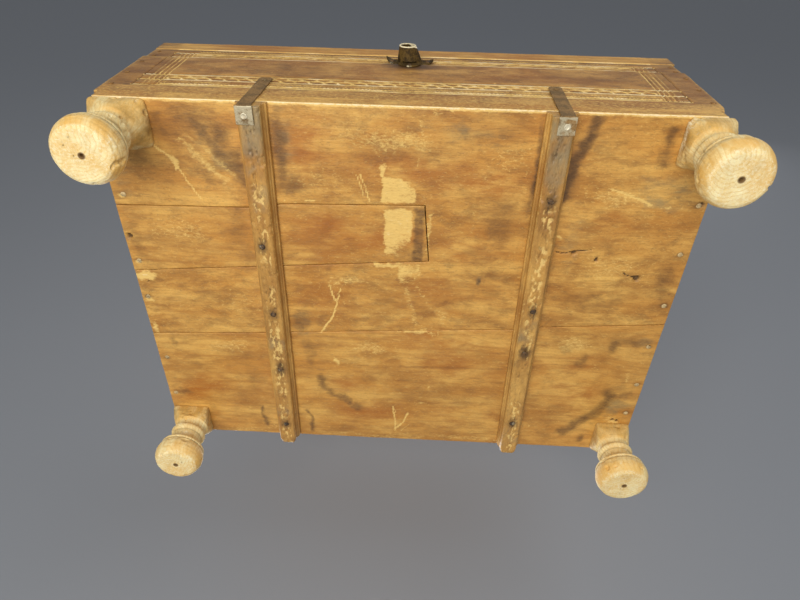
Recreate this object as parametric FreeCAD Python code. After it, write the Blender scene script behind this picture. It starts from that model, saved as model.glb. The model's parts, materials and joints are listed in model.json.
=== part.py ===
"""Low wooden donation box on four turned legs, with a hinged lid.

Sizes are in millimetres. Every shape is drawn with x from the middle of the
box, y from its front face towards the back and z up from the feet, and is
moved to the row's origin when it is written: the middle of the footprint.
"""
import FreeCAD, Part
import math
import os

V = FreeCAD.Vector

# ---------------------------------------------------------------- driving dimensions
BOX_W = 430.0            # outside width of the case
BOX_D = 326.0            # outside depth of the case
LEG_H = 58.0             # floor to the underside of the bottom boards
BODY_H = 100.0           # underside of the bottom boards to the lid joint
LID_H = 48.5             # lid joint to the top of the lid
BOARD = 12.0             # thickness of the bottom and wall boards
LID_TOP = 20.5           # thickness of the lid boards
LID_SETBACK = 1.5        # lid faces lie this far inside the case's front and back
LID_GAP = 0.3            # clearance at the lid joint
SEAM = 0.5               # open seam between neighbouring boards

BOTTOM_Z = LEG_H                       # outer face of the bottom
FLOOR_Z = BOTTOM_Z + BOARD             # inner face of the bottom
JOINT_Z = BOTTOM_Z + BODY_H            # top of the walls
LID_Z = JOINT_Z + LID_GAP              # underside of the lid rim
TOP_Z = JOINT_Z + LID_H                # top of the lid
RIM_TOP_Z = TOP_Z - LID_TOP            # underside of the lid boards
HALF_W = BOX_W / 2
LID_FRONT_Y = LID_SETBACK
LID_BACK_Y = BOX_D - LID_SETBACK

# legs: axis (x, y), size of the square block (x, y) and radius of the foot
LEGS = {
    "front_left": ((-194.5, 17.5), (41.0, 35.0), 22.5),
    "front_right": ((199.5, 17.5), (32.0, 35.0), 22.5),
    "rear_left": ((-196.0, 308.0), (34.0, 33.0), 21.0),
    "rear_right": ((199.5, 306.5), (31.0, 36.0), 22.5),
}
BLOCK_H = 12.5           # height of the square block at the top of a leg
BLOCK_TOP_R = 15.4       # the turning starts this wide under the block
# the turned shoulder that takes the corners off the block: radius, and depth below the boards
SHOULDER = ((28.0, 1.5), (20.8, 6.5), (BLOCK_TOP_R, BLOCK_H))
TENON_R = 8.0
TENON_L = 11.5
TENON_CLEARANCE = 0.1
BLOCK_EDGE_R = 2.0       # worn upright edges of the block
CENTRE_MARK_R = 1.5      # lathe centre left in the end of each foot
CENTRE_MARK_DEPTH = 6.0
# arcs of the turning above the foot: radius, and depth below the bottom boards
COVE = ((BLOCK_TOP_R, BLOCK_H), (12.9, 15.0), (12.4, 19.0))
BEAD = ((13.2, 19.6), (15.6, 22.8), (13.2, 26.0))
NECK = ((13.2, 26.0), (12.0, 30.0), (14.2, 34.5))
# the foot: how far inside its own radius, and depth below the bottom boards
FLARE = ((4.4, 36.3), (1.6, 38.6))
FOOT_STEP = ((1.6, 40.0), (2.4, 40.8))
BULB = ((0.0, 47.5), (3.2, 56.0))
FOOT_EDGE = ((4.0, 57.3), (5.5, LEG_H))

# middle of each batten, at the front of the case and at the rear end of the batten
BATTEN_X = {"left": (-103.0, -105.8), "right": (101.5, 105.0)}
BATTEN_W = 21.6
BATTEN_H = 11.0
BATTEN_END_Y = 329.0     # the rear ends overhang the case a little
BATTEN_END_R = 6.0       # round the underside of the end
BATTEN_CORNER_R = 5.0    # round its upright corners
BATTEN_CORNER_ROOM = 0.25
CROWN_W = 13.6           # flat worn crown of a batten
# side moulding of a batten: distance from its middle, and depth below the boards
BATTEN_SIDE = ((BATTEN_W / 2, 0.0), (BATTEN_W / 2, 3.2), (9.4, 4.6), (8.3, 5.2))
BATTEN_SHOULDER = (7.9, 9.6)

STRAP_X = {"left": -105.6, "right": 103.6}
STRAP_LEAN = {"left": 2.0, "right": 0.5}     # the leg up the front leans to the right
STRAP_W = 12.0           # leg that lies on the batten
STRAP_T = 1.2
STRAP_CROWN_L = 12.0
STRAP_WALL_W = 10.0      # leg up the front
STRAP_WALL_H = 50.0      # its top, from the underside of the bottom
STRAP_TOP_R = 3.0

# seams between the bottom boards: y at the left end, y at the right end
REAR_SEAM = (204.5, 172.0)
PATCH_FRONT = (81.0, 72.0)      # front edge of the patch: y at its left, y at its cut end
PATCH_REAR = (139.7, 120.5)
PATCH_END_X = (14.5, 18.6)      # x of its cut end, at its front and its rear

LOCK_X = -1.5
LOCK_Z = BOTTOM_Z + 107.0       # axis of the lock's nozzle
NOZZLE_TIP_Y = -12.5
NOZZLE_BASE_R = 10.0
NOZZLE_TIP_R = 6.7
NOZZLE_WALL = 1.6
NOZZLE_LEAN = -2.0              # the worn tip leans to the left
NOZZLE_CUT_Y = -1.8             # below the joint the nozzle stands off the case
IRON = 1.5                      # sheet iron of the lock and hinges
EAR_HALF = 19.0
EAR_H = 12.0
EAR_NAIL_X = 14.5
EYE_R = 2.3
TONGUE_T = 0.9
TONGUE_W = 9.0
TONGUE_GAP = 0.3                # the tongue stands this far off the lid's ears
TONGUE_ROOM = 0.6               # clearance round the tongue inside the nozzle
PLATE_R = 9.0
PLATE_LAP = 6.0                 # the tongue laps this far over its plate

HINGE_X = {"left": -125.0, "right": 125.0}
HINGE_W = 36.0
BARREL_R = 4.0
PIN_R = 2.0
PIN_CLEARANCE = 0.05
HINGE_AXIS_Y = BOX_D + BARREL_R
HINGE_AXIS_Z = JOINT_Z + LID_GAP / 2
BODY_LEAF_H = 40.0
LID_LEAF_H = 25.0
KNUCKLE_GAP = 0.3

SLOT_L = 60.0            # coin slot through the lid board
SLOT_W = 8.0
SLOT_PLATE_L = 96.0
SLOT_PLATE_W = 34.0
SLOT_PLATE_T = 1.2
SLOT_CLEAR = 1.0         # the plate's slot is this much narrower than the wood's
LID_SEAMS = (112.0, 218.0)
CLEAT_X = (-118.0, 118.0)
CLEAT_W = 24.0
CLEAT_H = 12.0

# nails: radius and height of the domed head, and length
NAIL_SHANK_R = 1.1
BOTTOM_NAIL = (2.2, 0.5, 36.0)
BATTEN_NAIL = (2.6, 0.9, 21.0)
STRAP_CROWN_NAIL = (2.4, 0.7, 21.0)
STRAP_WALL_NAIL = (2.2, 0.6, 11.0)
WALL_NAIL = (2.2, 0.5, 38.0)
RIM_NAIL = (2.0, 0.5, 34.0)
PLANK_NAIL = (2.2, 0.5, 40.0)
CLEAT_NAIL = (2.0, 0.5, 26.0)
SLOT_NAIL = (1.9, 0.6, 14.0)
LOCK_NAIL = (2.5, 1.3, 12.0)
TONGUE_NAIL = (1.6, 0.4, 11.0)
HINGE_NAIL = (2.3, 0.8, 12.0)
# where they are driven
BOTTOM_NAILS_LEFT = ((-209, 50), (-207, 72), (-209, 130), (-210, 165), (-208, 232), (-209, 276))
BOTTOM_NAILS_RIGHT = ((209, 64), (208, 105), (209, 153), (208, 196), (209, 240), (208, 276))
BATTEN_NAILS_LEFT = ((-1.5, 106), (0.5, 170), (1.0, 230), (0, 300))
BATTEN_NAILS_RIGHT = ((0, 60), (1.0, 156), (0, 200), (-0.5, 285))
WALL_NAIL_HEIGHTS = (16, 44, 72)
RIM_NAIL_HEIGHTS = (7, 20)
LID_NAILS_X = (-130, 0, 130)
LID_NAILS_Y = (42, 85, 140, 190, 245, 282)
CLEAT_NAILS_Y = (35, 85, 140, 190, 245, 290)

ORIGIN_X = (LEGS["front_left"][0][0] + LEGS["front_right"][0][0]) / 2
ORIGIN_Y = (NOZZLE_TIP_Y + HINGE_AXIS_Y + BARREL_R) / 2
TO_ORIGIN = V(-ORIGIN_X, -ORIGIN_Y, 0)

UP, DOWN = V(0, 0, 1), V(0, 0, -1)
BACKWARD, FORWARD = V(0, 1, 0), V(0, -1, 0)
RIGHT = V(1, 0, 0)


# ---------------------------------------------------------------- helpers
def block(x0, x1, y0, y1, z0, z1):
    """A rectangular solid between two corners."""
    return Part.makeBox(x1 - x0, y1 - y0, z1 - z0, V(x0, y0, z0))


def slab(outline, z0, z1):
    """A flat board with the given (x, y) outline."""
    points = [V(x, y, z0) for x, y in outline]
    return Part.Face(Part.makePolygon(points + points[:1])).extrude(V(0, 0, z1 - z0))


def facing(shape, point, direction):
    """Turn a shape drawn along +Z to a direction, and put it at a point."""
    turn = FreeCAD.Rotation(UP, direction)
    placed = shape.copy()
    placed.Placement = FreeCAD.Placement(point, turn)
    return placed


def nail(point, direction, size):
    """A hand-made nail: domed head on the surface, shank driven along direction."""
    head_r, head_h, length = size
    taper = 3 * NAIL_SHANK_R
    dome = Part.Arc(V(0, 0, -head_h), V(head_r * 0.62, 0, -head_h * 0.75), V(head_r, 0, 0))
    neck = V(NAIL_SHANK_R, 0, 0)
    outline = [V(head_r, 0, 0), neck, V(NAIL_SHANK_R, 0, length - taper), V(0, 0, length), V(0, 0, -head_h)]
    edges = [dome.toShape()] + [Part.makeLine(a, b) for a, b in zip(outline, outline[1:])]
    solid = Part.Face(Part.Wire(edges)).revolve(V(0, 0, 0), UP, 360)
    return facing(solid, point, direction)


def nails(places, direction, size):
    return [nail(V(*place), direction, size) for place in places]


def write(name, shape):
    """Move a sub-part to the row's origin and write it."""
    solids = shape if isinstance(shape, list) else [shape]
    moved = [solid.translated(TO_ORIGIN) for solid in solids]
    group = moved[0] if len(moved) == 1 else Part.makeCompound(moved)
    group.exportStep("parts/%s.step" % name)


# ---------------------------------------------------------------- bottom boards
def tenon_holes(board, legs):
    for leg in legs:
        x, y = LEGS[leg][0]
        hole = Part.makeCylinder(TENON_R + TENON_CLEARANCE, BOARD + 2, V(x, y, BOTTOM_Z - 1))
        board = board.cut(hole)
    return board


def bottom_plank_front():
    """The wide front board, with the long notch cut for the patch."""
    left, right = -HALF_W, HALF_W
    outline = [
        (left, 0),
        (right, 0),
        (right, REAR_SEAM[1]),
        (left, REAR_SEAM[0]),
        (left, PATCH_REAR[0]),
        (PATCH_END_X[1], PATCH_REAR[1]),
        (PATCH_END_X[0], PATCH_FRONT[1]),
        (left, PATCH_FRONT[0]),
    ]
    return tenon_holes(slab(outline, BOTTOM_Z, FLOOR_Z), ["front_left", "front_right"])


def bottom_patch_board():
    outline = [
        (-HALF_W, PATCH_FRONT[0] + SEAM),
        (PATCH_END_X[0] - SEAM, PATCH_FRONT[1] + SEAM),
        (PATCH_END_X[1] - SEAM, PATCH_REAR[1] - SEAM),
        (-HALF_W, PATCH_REAR[0] - SEAM),
    ]
    return slab(outline, BOTTOM_Z, FLOOR_Z)


def bottom_plank_rear():
    outline = [
        (-HALF_W, REAR_SEAM[0] + SEAM),
        (HALF_W, REAR_SEAM[1] + SEAM),
        (HALF_W, BOX_D),
        (-HALF_W, BOX_D),
    ]
    return tenon_holes(slab(outline, BOTTOM_Z, FLOOR_Z), ["rear_left", "rear_right"])


# ---------------------------------------------------------------- legs
def turned_outline(foot_r):
    """Half section of the turning, as radius and height, from the block down."""

    def at(radius, below):
        return V(radius, 0, BOTTOM_Z - below)

    def foot(place):
        return at(foot_r - place[0], place[1])

    arcs = [[at(*place) for place in row] for row in (COVE, BEAD, NECK)]
    arcs.append([arcs[-1][-1]] + [foot(place) for place in FLARE])
    arcs.append([foot(FOOT_STEP[1])] + [foot(place) for place in BULB])
    arcs.append([arcs[-1][-1]] + [foot(place) for place in FOOT_EDGE])
    edges = [Part.Arc(*row).toShape() for row in arcs]
    corners = [arcs[3][-1], foot(FOOT_STEP[0]), arcs[4][0]]
    edges += [Part.makeLine(a, b) for a, b in zip(corners, corners[1:])]
    edges.append(Part.makeLine(arcs[0][-1], arcs[1][0]))
    start = BOTTOM_Z - BLOCK_H
    core = [arcs[-1][-1], V(0, 0, 0), V(0, 0, start), V(BLOCK_TOP_R, 0, start)]
    edges += [Part.makeLine(a, b) for a, b in zip(core, core[1:])]
    return Part.sortEdges(edges)[0]


def turned_shoulder(x, y):
    """The round shape that the lathe leaves of the block."""
    places = [V(radius, 0, BOTTOM_Z - below) for radius, below in SHOULDER]
    core = [places[-1], V(0, 0, BOTTOM_Z - BLOCK_H), V(0, 0, BOTTOM_Z), V(SHOULDER[0][0], 0, BOTTOM_Z)]
    core.append(places[0])
    edges = [Part.makeLine(a, b) for a, b in zip(core, core[1:])] + [Part.Arc(*places).toShape()]
    shape = Part.Face(Part.Wire(Part.sortEdges(edges)[0])).revolve(V(0, 0, 0), UP, 360)
    shape.translate(V(x, y, 0))
    return shape


def leg(name):
    (x, y), (block_x, block_y), foot_r = LEGS[name]
    left, front = x < 0, y < BOX_D / 2
    x0 = -HALF_W if left else HALF_W - block_x
    y0 = 0 if front else BOX_D - block_y
    square = block(x0, x0 + block_x, y0, y0 + block_y, BOTTOM_Z - BLOCK_H, BOTTOM_Z)
    upright = [e for e in square.Edges if abs(e.tangentAt(e.FirstParameter).z) > 0.99]
    square = square.makeFillet(BLOCK_EDGE_R, upright).common(turned_shoulder(x, y))
    turning = Part.Face(Part.Wire(turned_outline(foot_r))).revolve(V(0, 0, 0), UP, 360)
    turning.translate(V(x, y, 0))
    tenon = Part.makeCylinder(TENON_R, TENON_L + BLOCK_H, V(x, y, BOTTOM_Z - BLOCK_H))
    mark = Part.makeCone(CENTRE_MARK_R, 0, CENTRE_MARK_DEPTH, V(x, y, 0))
    return square.fuse([turning, tenon]).removeSplitter().cut(mark)


# ---------------------------------------------------------------- battens and their straps
def batten_middle(side, y):
    """Where the middle of a batten lies at a distance from the front."""
    front, rear = BATTEN_X[side]
    return front + (rear - front) * y / BATTEN_END_Y


def batten(which):
    """A moulded rail under the bottom: thin side fillets and a flat crown."""
    front, rear = BATTEN_X[which]

    def at(side, out, below):
        return V(front + side * out, 0, BOTTOM_Z - below)

    sections = []
    for side in (1, -1):
        corners = [at(side, out, below) for out, below in BATTEN_SIDE]
        crown = at(side, CROWN_W / 2, BATTEN_H)
        sections += [Part.makeLine(a, b) for a, b in zip(corners, corners[1:])]
        sections.append(Part.Arc(corners[-1], at(side, *BATTEN_SHOULDER), crown).toShape())
    for out, below in ((CROWN_W / 2, BATTEN_H), BATTEN_SIDE[0]):
        sections.append(Part.makeLine(at(-1, out, below), at(1, out, below)))
    section = Part.Face(Part.Wire(Part.sortEdges(sections)[0]))
    rail = section.extrude(V(rear - front, BATTEN_END_Y, 0))
    return rail.common(rounded_end(front)).common(rounded_corners(rear))


def rounded_end(x):
    """Side view of a batten: square at the front, rounded off at the rear."""
    end, low = BATTEN_END_Y, BOTTOM_Z - BATTEN_H
    x0 = x - BATTEN_W
    corner = end - BATTEN_END_R * (1 - math.sqrt(0.5))
    points = [V(x0, end, low + BATTEN_END_R), V(x0, end, BOTTOM_Z), V(x0, 0, BOTTOM_Z), V(x0, 0, low)]
    points.append(V(x0, end - BATTEN_END_R, low))
    arc = Part.Arc(points[-1], V(x0, corner, low + end - corner), points[0]).toShape()
    edges = [Part.makeLine(a, b) for a, b in zip(points, points[1:])] + [arc]
    return Part.Face(Part.Wire(edges)).extrude(V(2 * BATTEN_W, 0, 0))


def rounded_corners(x):
    """Plan of a batten that ends at x: its two upright rear corners are rounded."""
    half = BATTEN_W / 2 + BATTEN_CORNER_ROOM
    last = block(x - half, x + half, BATTEN_END_Y - BATTEN_W, BATTEN_END_Y, BOTTOM_Z - BATTEN_H, BOTTOM_Z)
    rear = [e for e in last.Edges if all(abs(v.Y - BATTEN_END_Y) < 1e-6 for v in e.Vertexes)]
    upright = [e for e in rear if abs(e.tangentAt(e.FirstParameter).z) > 0.99]
    before = block(x - BATTEN_W, x + BATTEN_W, 0, BATTEN_END_Y - BATTEN_W, BOTTOM_Z - BATTEN_H, BOTTOM_Z)
    return last.makeFillet(BATTEN_CORNER_R, upright).fuse(before)


def corner_strap(side):
    """Bent iron strap over the front end of a batten and up the front."""
    x, lean = STRAP_X[side], STRAP_LEAN[side]
    low, high = BOTTOM_Z - BATTEN_H, BOTTOM_Z + STRAP_WALL_H
    foot = block(x - STRAP_W / 2, x + STRAP_W / 2, -STRAP_T, STRAP_CROWN_L, low - STRAP_T, low)
    half = STRAP_WALL_W / 2
    corners = [(x - half, low - STRAP_T), (x + half, low - STRAP_T)]
    corners += [(x + half + lean, high), (x - half + lean, high)]
    outline = [V(across, -STRAP_T, z) for across, z in corners]
    riser = Part.Face(Part.makePolygon(outline + outline[:1])).extrude(V(0, STRAP_T, 0))
    tops = [e for e in riser.Edges if all(abs(v.Z - high) < 1e-6 for v in e.Vertexes)]
    ends = [e for e in tops if abs(e.tangentAt(e.FirstParameter).y) > 0.99]
    strap = foot.fuse(riser.makeFillet(STRAP_TOP_R, ends)).removeSplitter()
    outer = [e for e in strap.Edges if on_line(e, -STRAP_T, low - STRAP_T)]
    return strap.makeFillet(STRAP_T * 0.9, outer)


def on_line(edge, y, z):
    """Whether an edge runs along x at the given y and z."""
    ends = [vertex.Point for vertex in edge.Vertexes]
    return all(abs(p.y - y) < 1e-6 and abs(p.z - z) < 1e-6 for p in ends)


# ---------------------------------------------------------------- walls
def front_wall():
    return block(-HALF_W, HALF_W, 0, BOARD, FLOOR_Z, JOINT_Z)


def back_wall():
    return block(-HALF_W, HALF_W, BOX_D - BOARD, BOX_D, FLOOR_Z, JOINT_Z)


def side_wall(side):
    outer = side * HALF_W
    inner = side * (HALF_W - BOARD)
    return block(min(outer, inner), max(outer, inner), BOARD, BOX_D - BOARD, FLOOR_Z, JOINT_Z)


# ---------------------------------------------------------------- lid
def lid_rim_long(y0, hole):
    rim = block(-HALF_W, HALF_W, y0, y0 + BOARD, LID_Z, RIM_TOP_Z)
    if hole:
        rim = rim.cut(Part.makeCylinder(EYE_R, BOARD * 0.75, V(LOCK_X, y0, LOCK_Z), BACKWARD))
    return rim


def lid_rim_side(side):
    outer = side * HALF_W
    inner = side * (HALF_W - BOARD)
    y0, y1 = LID_FRONT_Y + BOARD, LID_BACK_Y - BOARD
    return block(min(outer, inner), max(outer, inner), y0, y1, LID_Z, RIM_TOP_Z)


def lid_plank(y0, y1):
    return block(-HALF_W, HALF_W, y0, y1, RIM_TOP_Z, TOP_Z)


def slot_prism(length, width, z0, z1):
    """A round-ended slot through the middle of the lid."""
    y = (LID_SEAMS[0] + LID_SEAMS[1]) / 2
    straight = length / 2 - width / 2
    middle = block(-straight, straight, y - width / 2, y + width / 2, z0, z1)
    ends = [Part.makeCylinder(width / 2, z1 - z0, V(x, y, z0)) for x in (-straight, straight)]
    return middle.fuse(ends).removeSplitter()


def lid_plank_middle():
    board = lid_plank(LID_SEAMS[0] + SEAM / 2, LID_SEAMS[1] - SEAM / 2)
    return board.cut(slot_prism(SLOT_L, SLOT_W, RIM_TOP_Z - 1, TOP_Z + 1))


def coin_slot_plate():
    y = (LID_SEAMS[0] + LID_SEAMS[1]) / 2
    half_l, half_w = SLOT_PLATE_L / 2, SLOT_PLATE_W / 2
    plate = block(-half_l, half_l, y - half_w, y + half_w, TOP_Z, TOP_Z + SLOT_PLATE_T)
    corners = [e for e in plate.Edges if abs(e.tangentAt(e.FirstParameter).z) > 0.99]
    plate = plate.makeFillet(4.0, corners)
    opening = slot_prism(SLOT_L - SLOT_CLEAR, SLOT_W - SLOT_CLEAR, TOP_Z - 1, TOP_Z + SLOT_PLATE_T + 1)
    return plate.cut(opening)


def lid_cleat(x):
    half = CLEAT_W / 2
    y0, y1 = LID_FRONT_Y + BOARD, LID_BACK_Y - BOARD
    return block(x - half, x + half, y0, y1, RIM_TOP_Z - CLEAT_H, RIM_TOP_Z)


# ---------------------------------------------------------------- lock
def oblique_cone(base_r, tip_r, base_y, tip_y, lean):
    base = Part.Wire(Part.makeCircle(base_r, V(LOCK_X, base_y, LOCK_Z), BACKWARD))
    tip = Part.Wire(Part.makeCircle(tip_r, V(LOCK_X + lean, tip_y, LOCK_Z), BACKWARD))
    return Part.makeLoft([base, tip], True, True)


def lock_nozzle():
    """Forged nozzle with two ears, nailed to the front of the lid rim."""
    ears = block(LOCK_X - EAR_HALF + EAR_H / 2, LOCK_X + EAR_HALF - EAR_H / 2, 0, IRON,
                 LOCK_Z - EAR_H / 2, LOCK_Z + EAR_H / 2)
    ends = [
        Part.makeCylinder(EAR_H / 2, IRON, V(LOCK_X + side * (EAR_HALF - EAR_H / 2), 0, LOCK_Z), BACKWARD)
        for side in (-1, 1)
    ]
    collar = Part.makeCylinder(NOZZLE_BASE_R, IRON, V(LOCK_X, 0, LOCK_Z), BACKWARD)
    horn = oblique_cone(NOZZLE_BASE_R, NOZZLE_TIP_R, 0, NOZZLE_TIP_Y, NOZZLE_LEAN)
    bore = oblique_cone(NOZZLE_BASE_R - NOZZLE_WALL, NOZZLE_TIP_R - NOZZLE_WALL, 0, NOZZLE_TIP_Y,
                        NOZZLE_LEAN)
    wide = 2 * NOZZLE_BASE_R
    under = block(LOCK_X - wide, LOCK_X + wide, NOZZLE_CUT_Y, IRON + 1, LOCK_Z - wide, LID_Z)
    eye = Part.makeCylinder(EYE_R, IRON + 2, V(LOCK_X, -1, LOCK_Z), BACKWARD)
    flange = ears.fuse(ends + [collar]).cut(eye)
    room = TONGUE_W / 2 + TONGUE_ROOM
    notch = block(LOCK_X - room, LOCK_X + room, NOZZLE_CUT_Y, 0, LOCK_Z - wide, LOCK_Z)
    return flange.fuse(horn.cut([bore, notch])).removeSplitter().cut(under)


def lock_tongue():
    """Half-round plate on the front wall, with the eye that the nozzle covers."""
    top = JOINT_Z - LID_GAP
    face = -TONGUE_T - TONGUE_GAP
    disc = Part.makeCylinder(PLATE_R, -face, V(LOCK_X, face, top), BACKWARD)
    lower = block(LOCK_X - PLATE_R, LOCK_X + PLATE_R, face, 0, top - PLATE_R, top)
    half = TONGUE_W / 2
    end_z = LOCK_Z + half + TONGUE_GAP
    tongue = block(LOCK_X - half, LOCK_X + half, face, -TONGUE_GAP, top - PLATE_LAP, end_z)
    eye = Part.makeCylinder(EYE_R, 2 * TONGUE_T, V(LOCK_X, face - TONGUE_T / 2, LOCK_Z), BACKWARD)
    return disc.common(lower).fuse(tongue).removeSplitter().cut(eye)


# ---------------------------------------------------------------- hinges
def barrel(x0, x1, radius):
    return Part.makeCylinder(radius, x1 - x0, V(x0, HINGE_AXIS_Y, HINGE_AXIS_Z), RIGHT)


def hinge_body_leaf(x):
    """Plate on the back wall with the two outer knuckles."""
    third = HINGE_W / 3
    x0, x1 = x - HINGE_W / 2, x + HINGE_W / 2
    plate = block(x0, x1, BOX_D, BOX_D + IRON, JOINT_Z - BODY_LEAF_H, HINGE_AXIS_Z)
    knuckles = [barrel(x0, x0 + third, BARREL_R), barrel(x1 - third, x1, BARREL_R)]
    leaf = plate.fuse(knuckles).removeSplitter()
    room = barrel(x0 + third, x1 - third, BARREL_R + KNUCKLE_GAP)
    above = block(x0 + third, x1 - third, BOX_D - 1, BOX_D + 2 * IRON, HINGE_AXIS_Z, HINGE_AXIS_Z + 9)
    bore = barrel(x0 - 1, x1 + 1, PIN_R + PIN_CLEARANCE)
    return leaf.cut([room, above, bore])


def hinge_lid_leaf(x):
    """Plate on the back of the lid rim with the middle knuckle."""
    third = HINGE_W / 3
    x0, x1 = x - HINGE_W / 2, x + HINGE_W / 2
    k0, k1 = x0 + third + KNUCKLE_GAP, x1 - third - KNUCKLE_GAP
    knuckle = barrel(k0, k1, BARREL_R)
    low = HINGE_AXIS_Z + BARREL_R + 1.0
    plate = block(x0, x1, LID_BACK_Y, LID_BACK_Y + IRON, low, LID_Z + LID_LEAF_H)
    web = block(k0, k1, LID_BACK_Y, HINGE_AXIS_Y, HINGE_AXIS_Z + BARREL_R - IRON, HINGE_AXIS_Z + BARREL_R)
    root = block(k0, k1, LID_BACK_Y, LID_BACK_Y + IRON, HINGE_AXIS_Z + BARREL_R - IRON, low)
    bore = barrel(x0 - 1, x1 + 1, PIN_R + PIN_CLEARANCE)
    return plate.fuse([knuckle, web, root]).removeSplitter().cut(bore)


def hinge_pin(x):
    """Round pin, headed at both ends, that stays in the body leaf."""
    x0, x1 = x - HINGE_W / 2, x + HINGE_W / 2
    shank = barrel(x0 - 1.2, x1 + 1.2, PIN_R)
    heads = [barrel(x0 - 1.2, x0, PIN_R + 1.1), barrel(x1, x1 + 1.2, PIN_R + 1.1)]
    return shank.fuse(heads).removeSplitter()


# ---------------------------------------------------------------- nails
def bottom_nails():
    """Nails through the board ends, up into the side walls."""
    places = [(x, y, BOTTOM_Z) for x, y in BOTTOM_NAILS_LEFT + BOTTOM_NAILS_RIGHT]
    return nails(places, UP, BOTTOM_NAIL)


def batten_nails():
    crown_z = BOTTOM_Z - BATTEN_H
    places = [(batten_middle("left", y) + dx, y, crown_z) for dx, y in BATTEN_NAILS_LEFT]
    places += [(batten_middle("right", y) + dx, y, crown_z) for dx, y in BATTEN_NAILS_RIGHT]
    return nails(places, UP, BATTEN_NAIL)


def strap_nails():
    """One nail through each strap into the batten, and one into the front wall."""
    crown_z = BOTTOM_Z - BATTEN_H - STRAP_T
    wall_z = BOTTOM_Z + STRAP_WALL_H - 7
    driven = []
    for side, x in STRAP_X.items():
        driven += nails([(x, STRAP_CROWN_L / 2, crown_z)], UP, STRAP_CROWN_NAIL)
        driven += nails([(x + STRAP_LEAN[side], -STRAP_T, wall_z)], BACKWARD, STRAP_WALL_NAIL)
    return driven


def wall_nails():
    """Three nails at each corner, through the front and back into the sides."""
    driven = []
    for x in (-HALF_W + BOARD / 2, HALF_W - BOARD / 2):
        for height in WALL_NAIL_HEIGHTS:
            driven += nails([(x, 0, FLOOR_Z + height)], BACKWARD, WALL_NAIL)
            driven += nails([(x, BOX_D, FLOOR_Z + height)], FORWARD, WALL_NAIL)
    return driven


def lid_rim_nails():
    driven = []
    for x in (-HALF_W + BOARD / 2, HALF_W - BOARD / 2):
        for height in RIM_NAIL_HEIGHTS:
            driven += nails([(x, LID_FRONT_Y, LID_Z + height)], BACKWARD, RIM_NAIL)
            driven += nails([(x, LID_BACK_Y, LID_Z + height)], FORWARD, RIM_NAIL)
    return driven


def lid_plank_nails():
    """Nails down through the lid boards into the rim."""
    front, back = LID_FRONT_Y + BOARD / 2, LID_BACK_Y - BOARD / 2
    side = HALF_W - BOARD / 2
    places = [(x, y, TOP_Z) for x in LID_NAILS_X for y in (front, back)]
    places += [(x, y, TOP_Z) for x in (-side, side) for y in LID_NAILS_Y]
    return nails(places, DOWN, PLANK_NAIL)


def cleat_nails():
    """Nails up through the cleats into the lid boards."""
    low = RIM_TOP_Z - CLEAT_H
    places = [(x, y, low) for x in CLEAT_X for y in CLEAT_NAILS_Y]
    return nails(places, UP, CLEAT_NAIL)


def slot_plate_nails():
    y = (LID_SEAMS[0] + LID_SEAMS[1]) / 2
    dx, dy = SLOT_PLATE_L / 2 - 6, SLOT_PLATE_W / 2 - 6
    places = [(sx * dx, y + sy * dy, TOP_Z + SLOT_PLATE_T) for sx in (-1, 1) for sy in (-1, 1)]
    return nails(places, DOWN, SLOT_NAIL)


def lock_nails():
    places = [(LOCK_X + side * EAR_NAIL_X, 0, LOCK_Z) for side in (-1, 1)]
    return nails(places, BACKWARD, LOCK_NAIL)


def lock_tongue_nail():
    place = V(LOCK_X, -TONGUE_T - TONGUE_GAP, JOINT_Z - PLATE_R * 0.6)
    return nail(place, BACKWARD, TONGUE_NAIL)


def hinge_body_nails():
    """Three nails in each leaf on the back wall."""
    face = BOX_D + IRON
    driven = []
    for x in HINGE_X.values():
        places = [(x + dx, face, JOINT_Z - dz) for dx, dz in ((-11, 14), (11, 14), (0, 30))]
        driven += nails(places, FORWARD, HINGE_NAIL)
    return driven


def hinge_lid_nails():
    """Three nails in each leaf on the back of the lid."""
    face = LID_BACK_Y + IRON
    driven = []
    for x in HINGE_X.values():
        places = [(x + dx, face, LID_Z + dz) for dx, dz in ((-12, 11), (12, 11), (0, 19))]
        driven += nails(places, FORWARD, HINGE_NAIL)
    return driven


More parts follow.
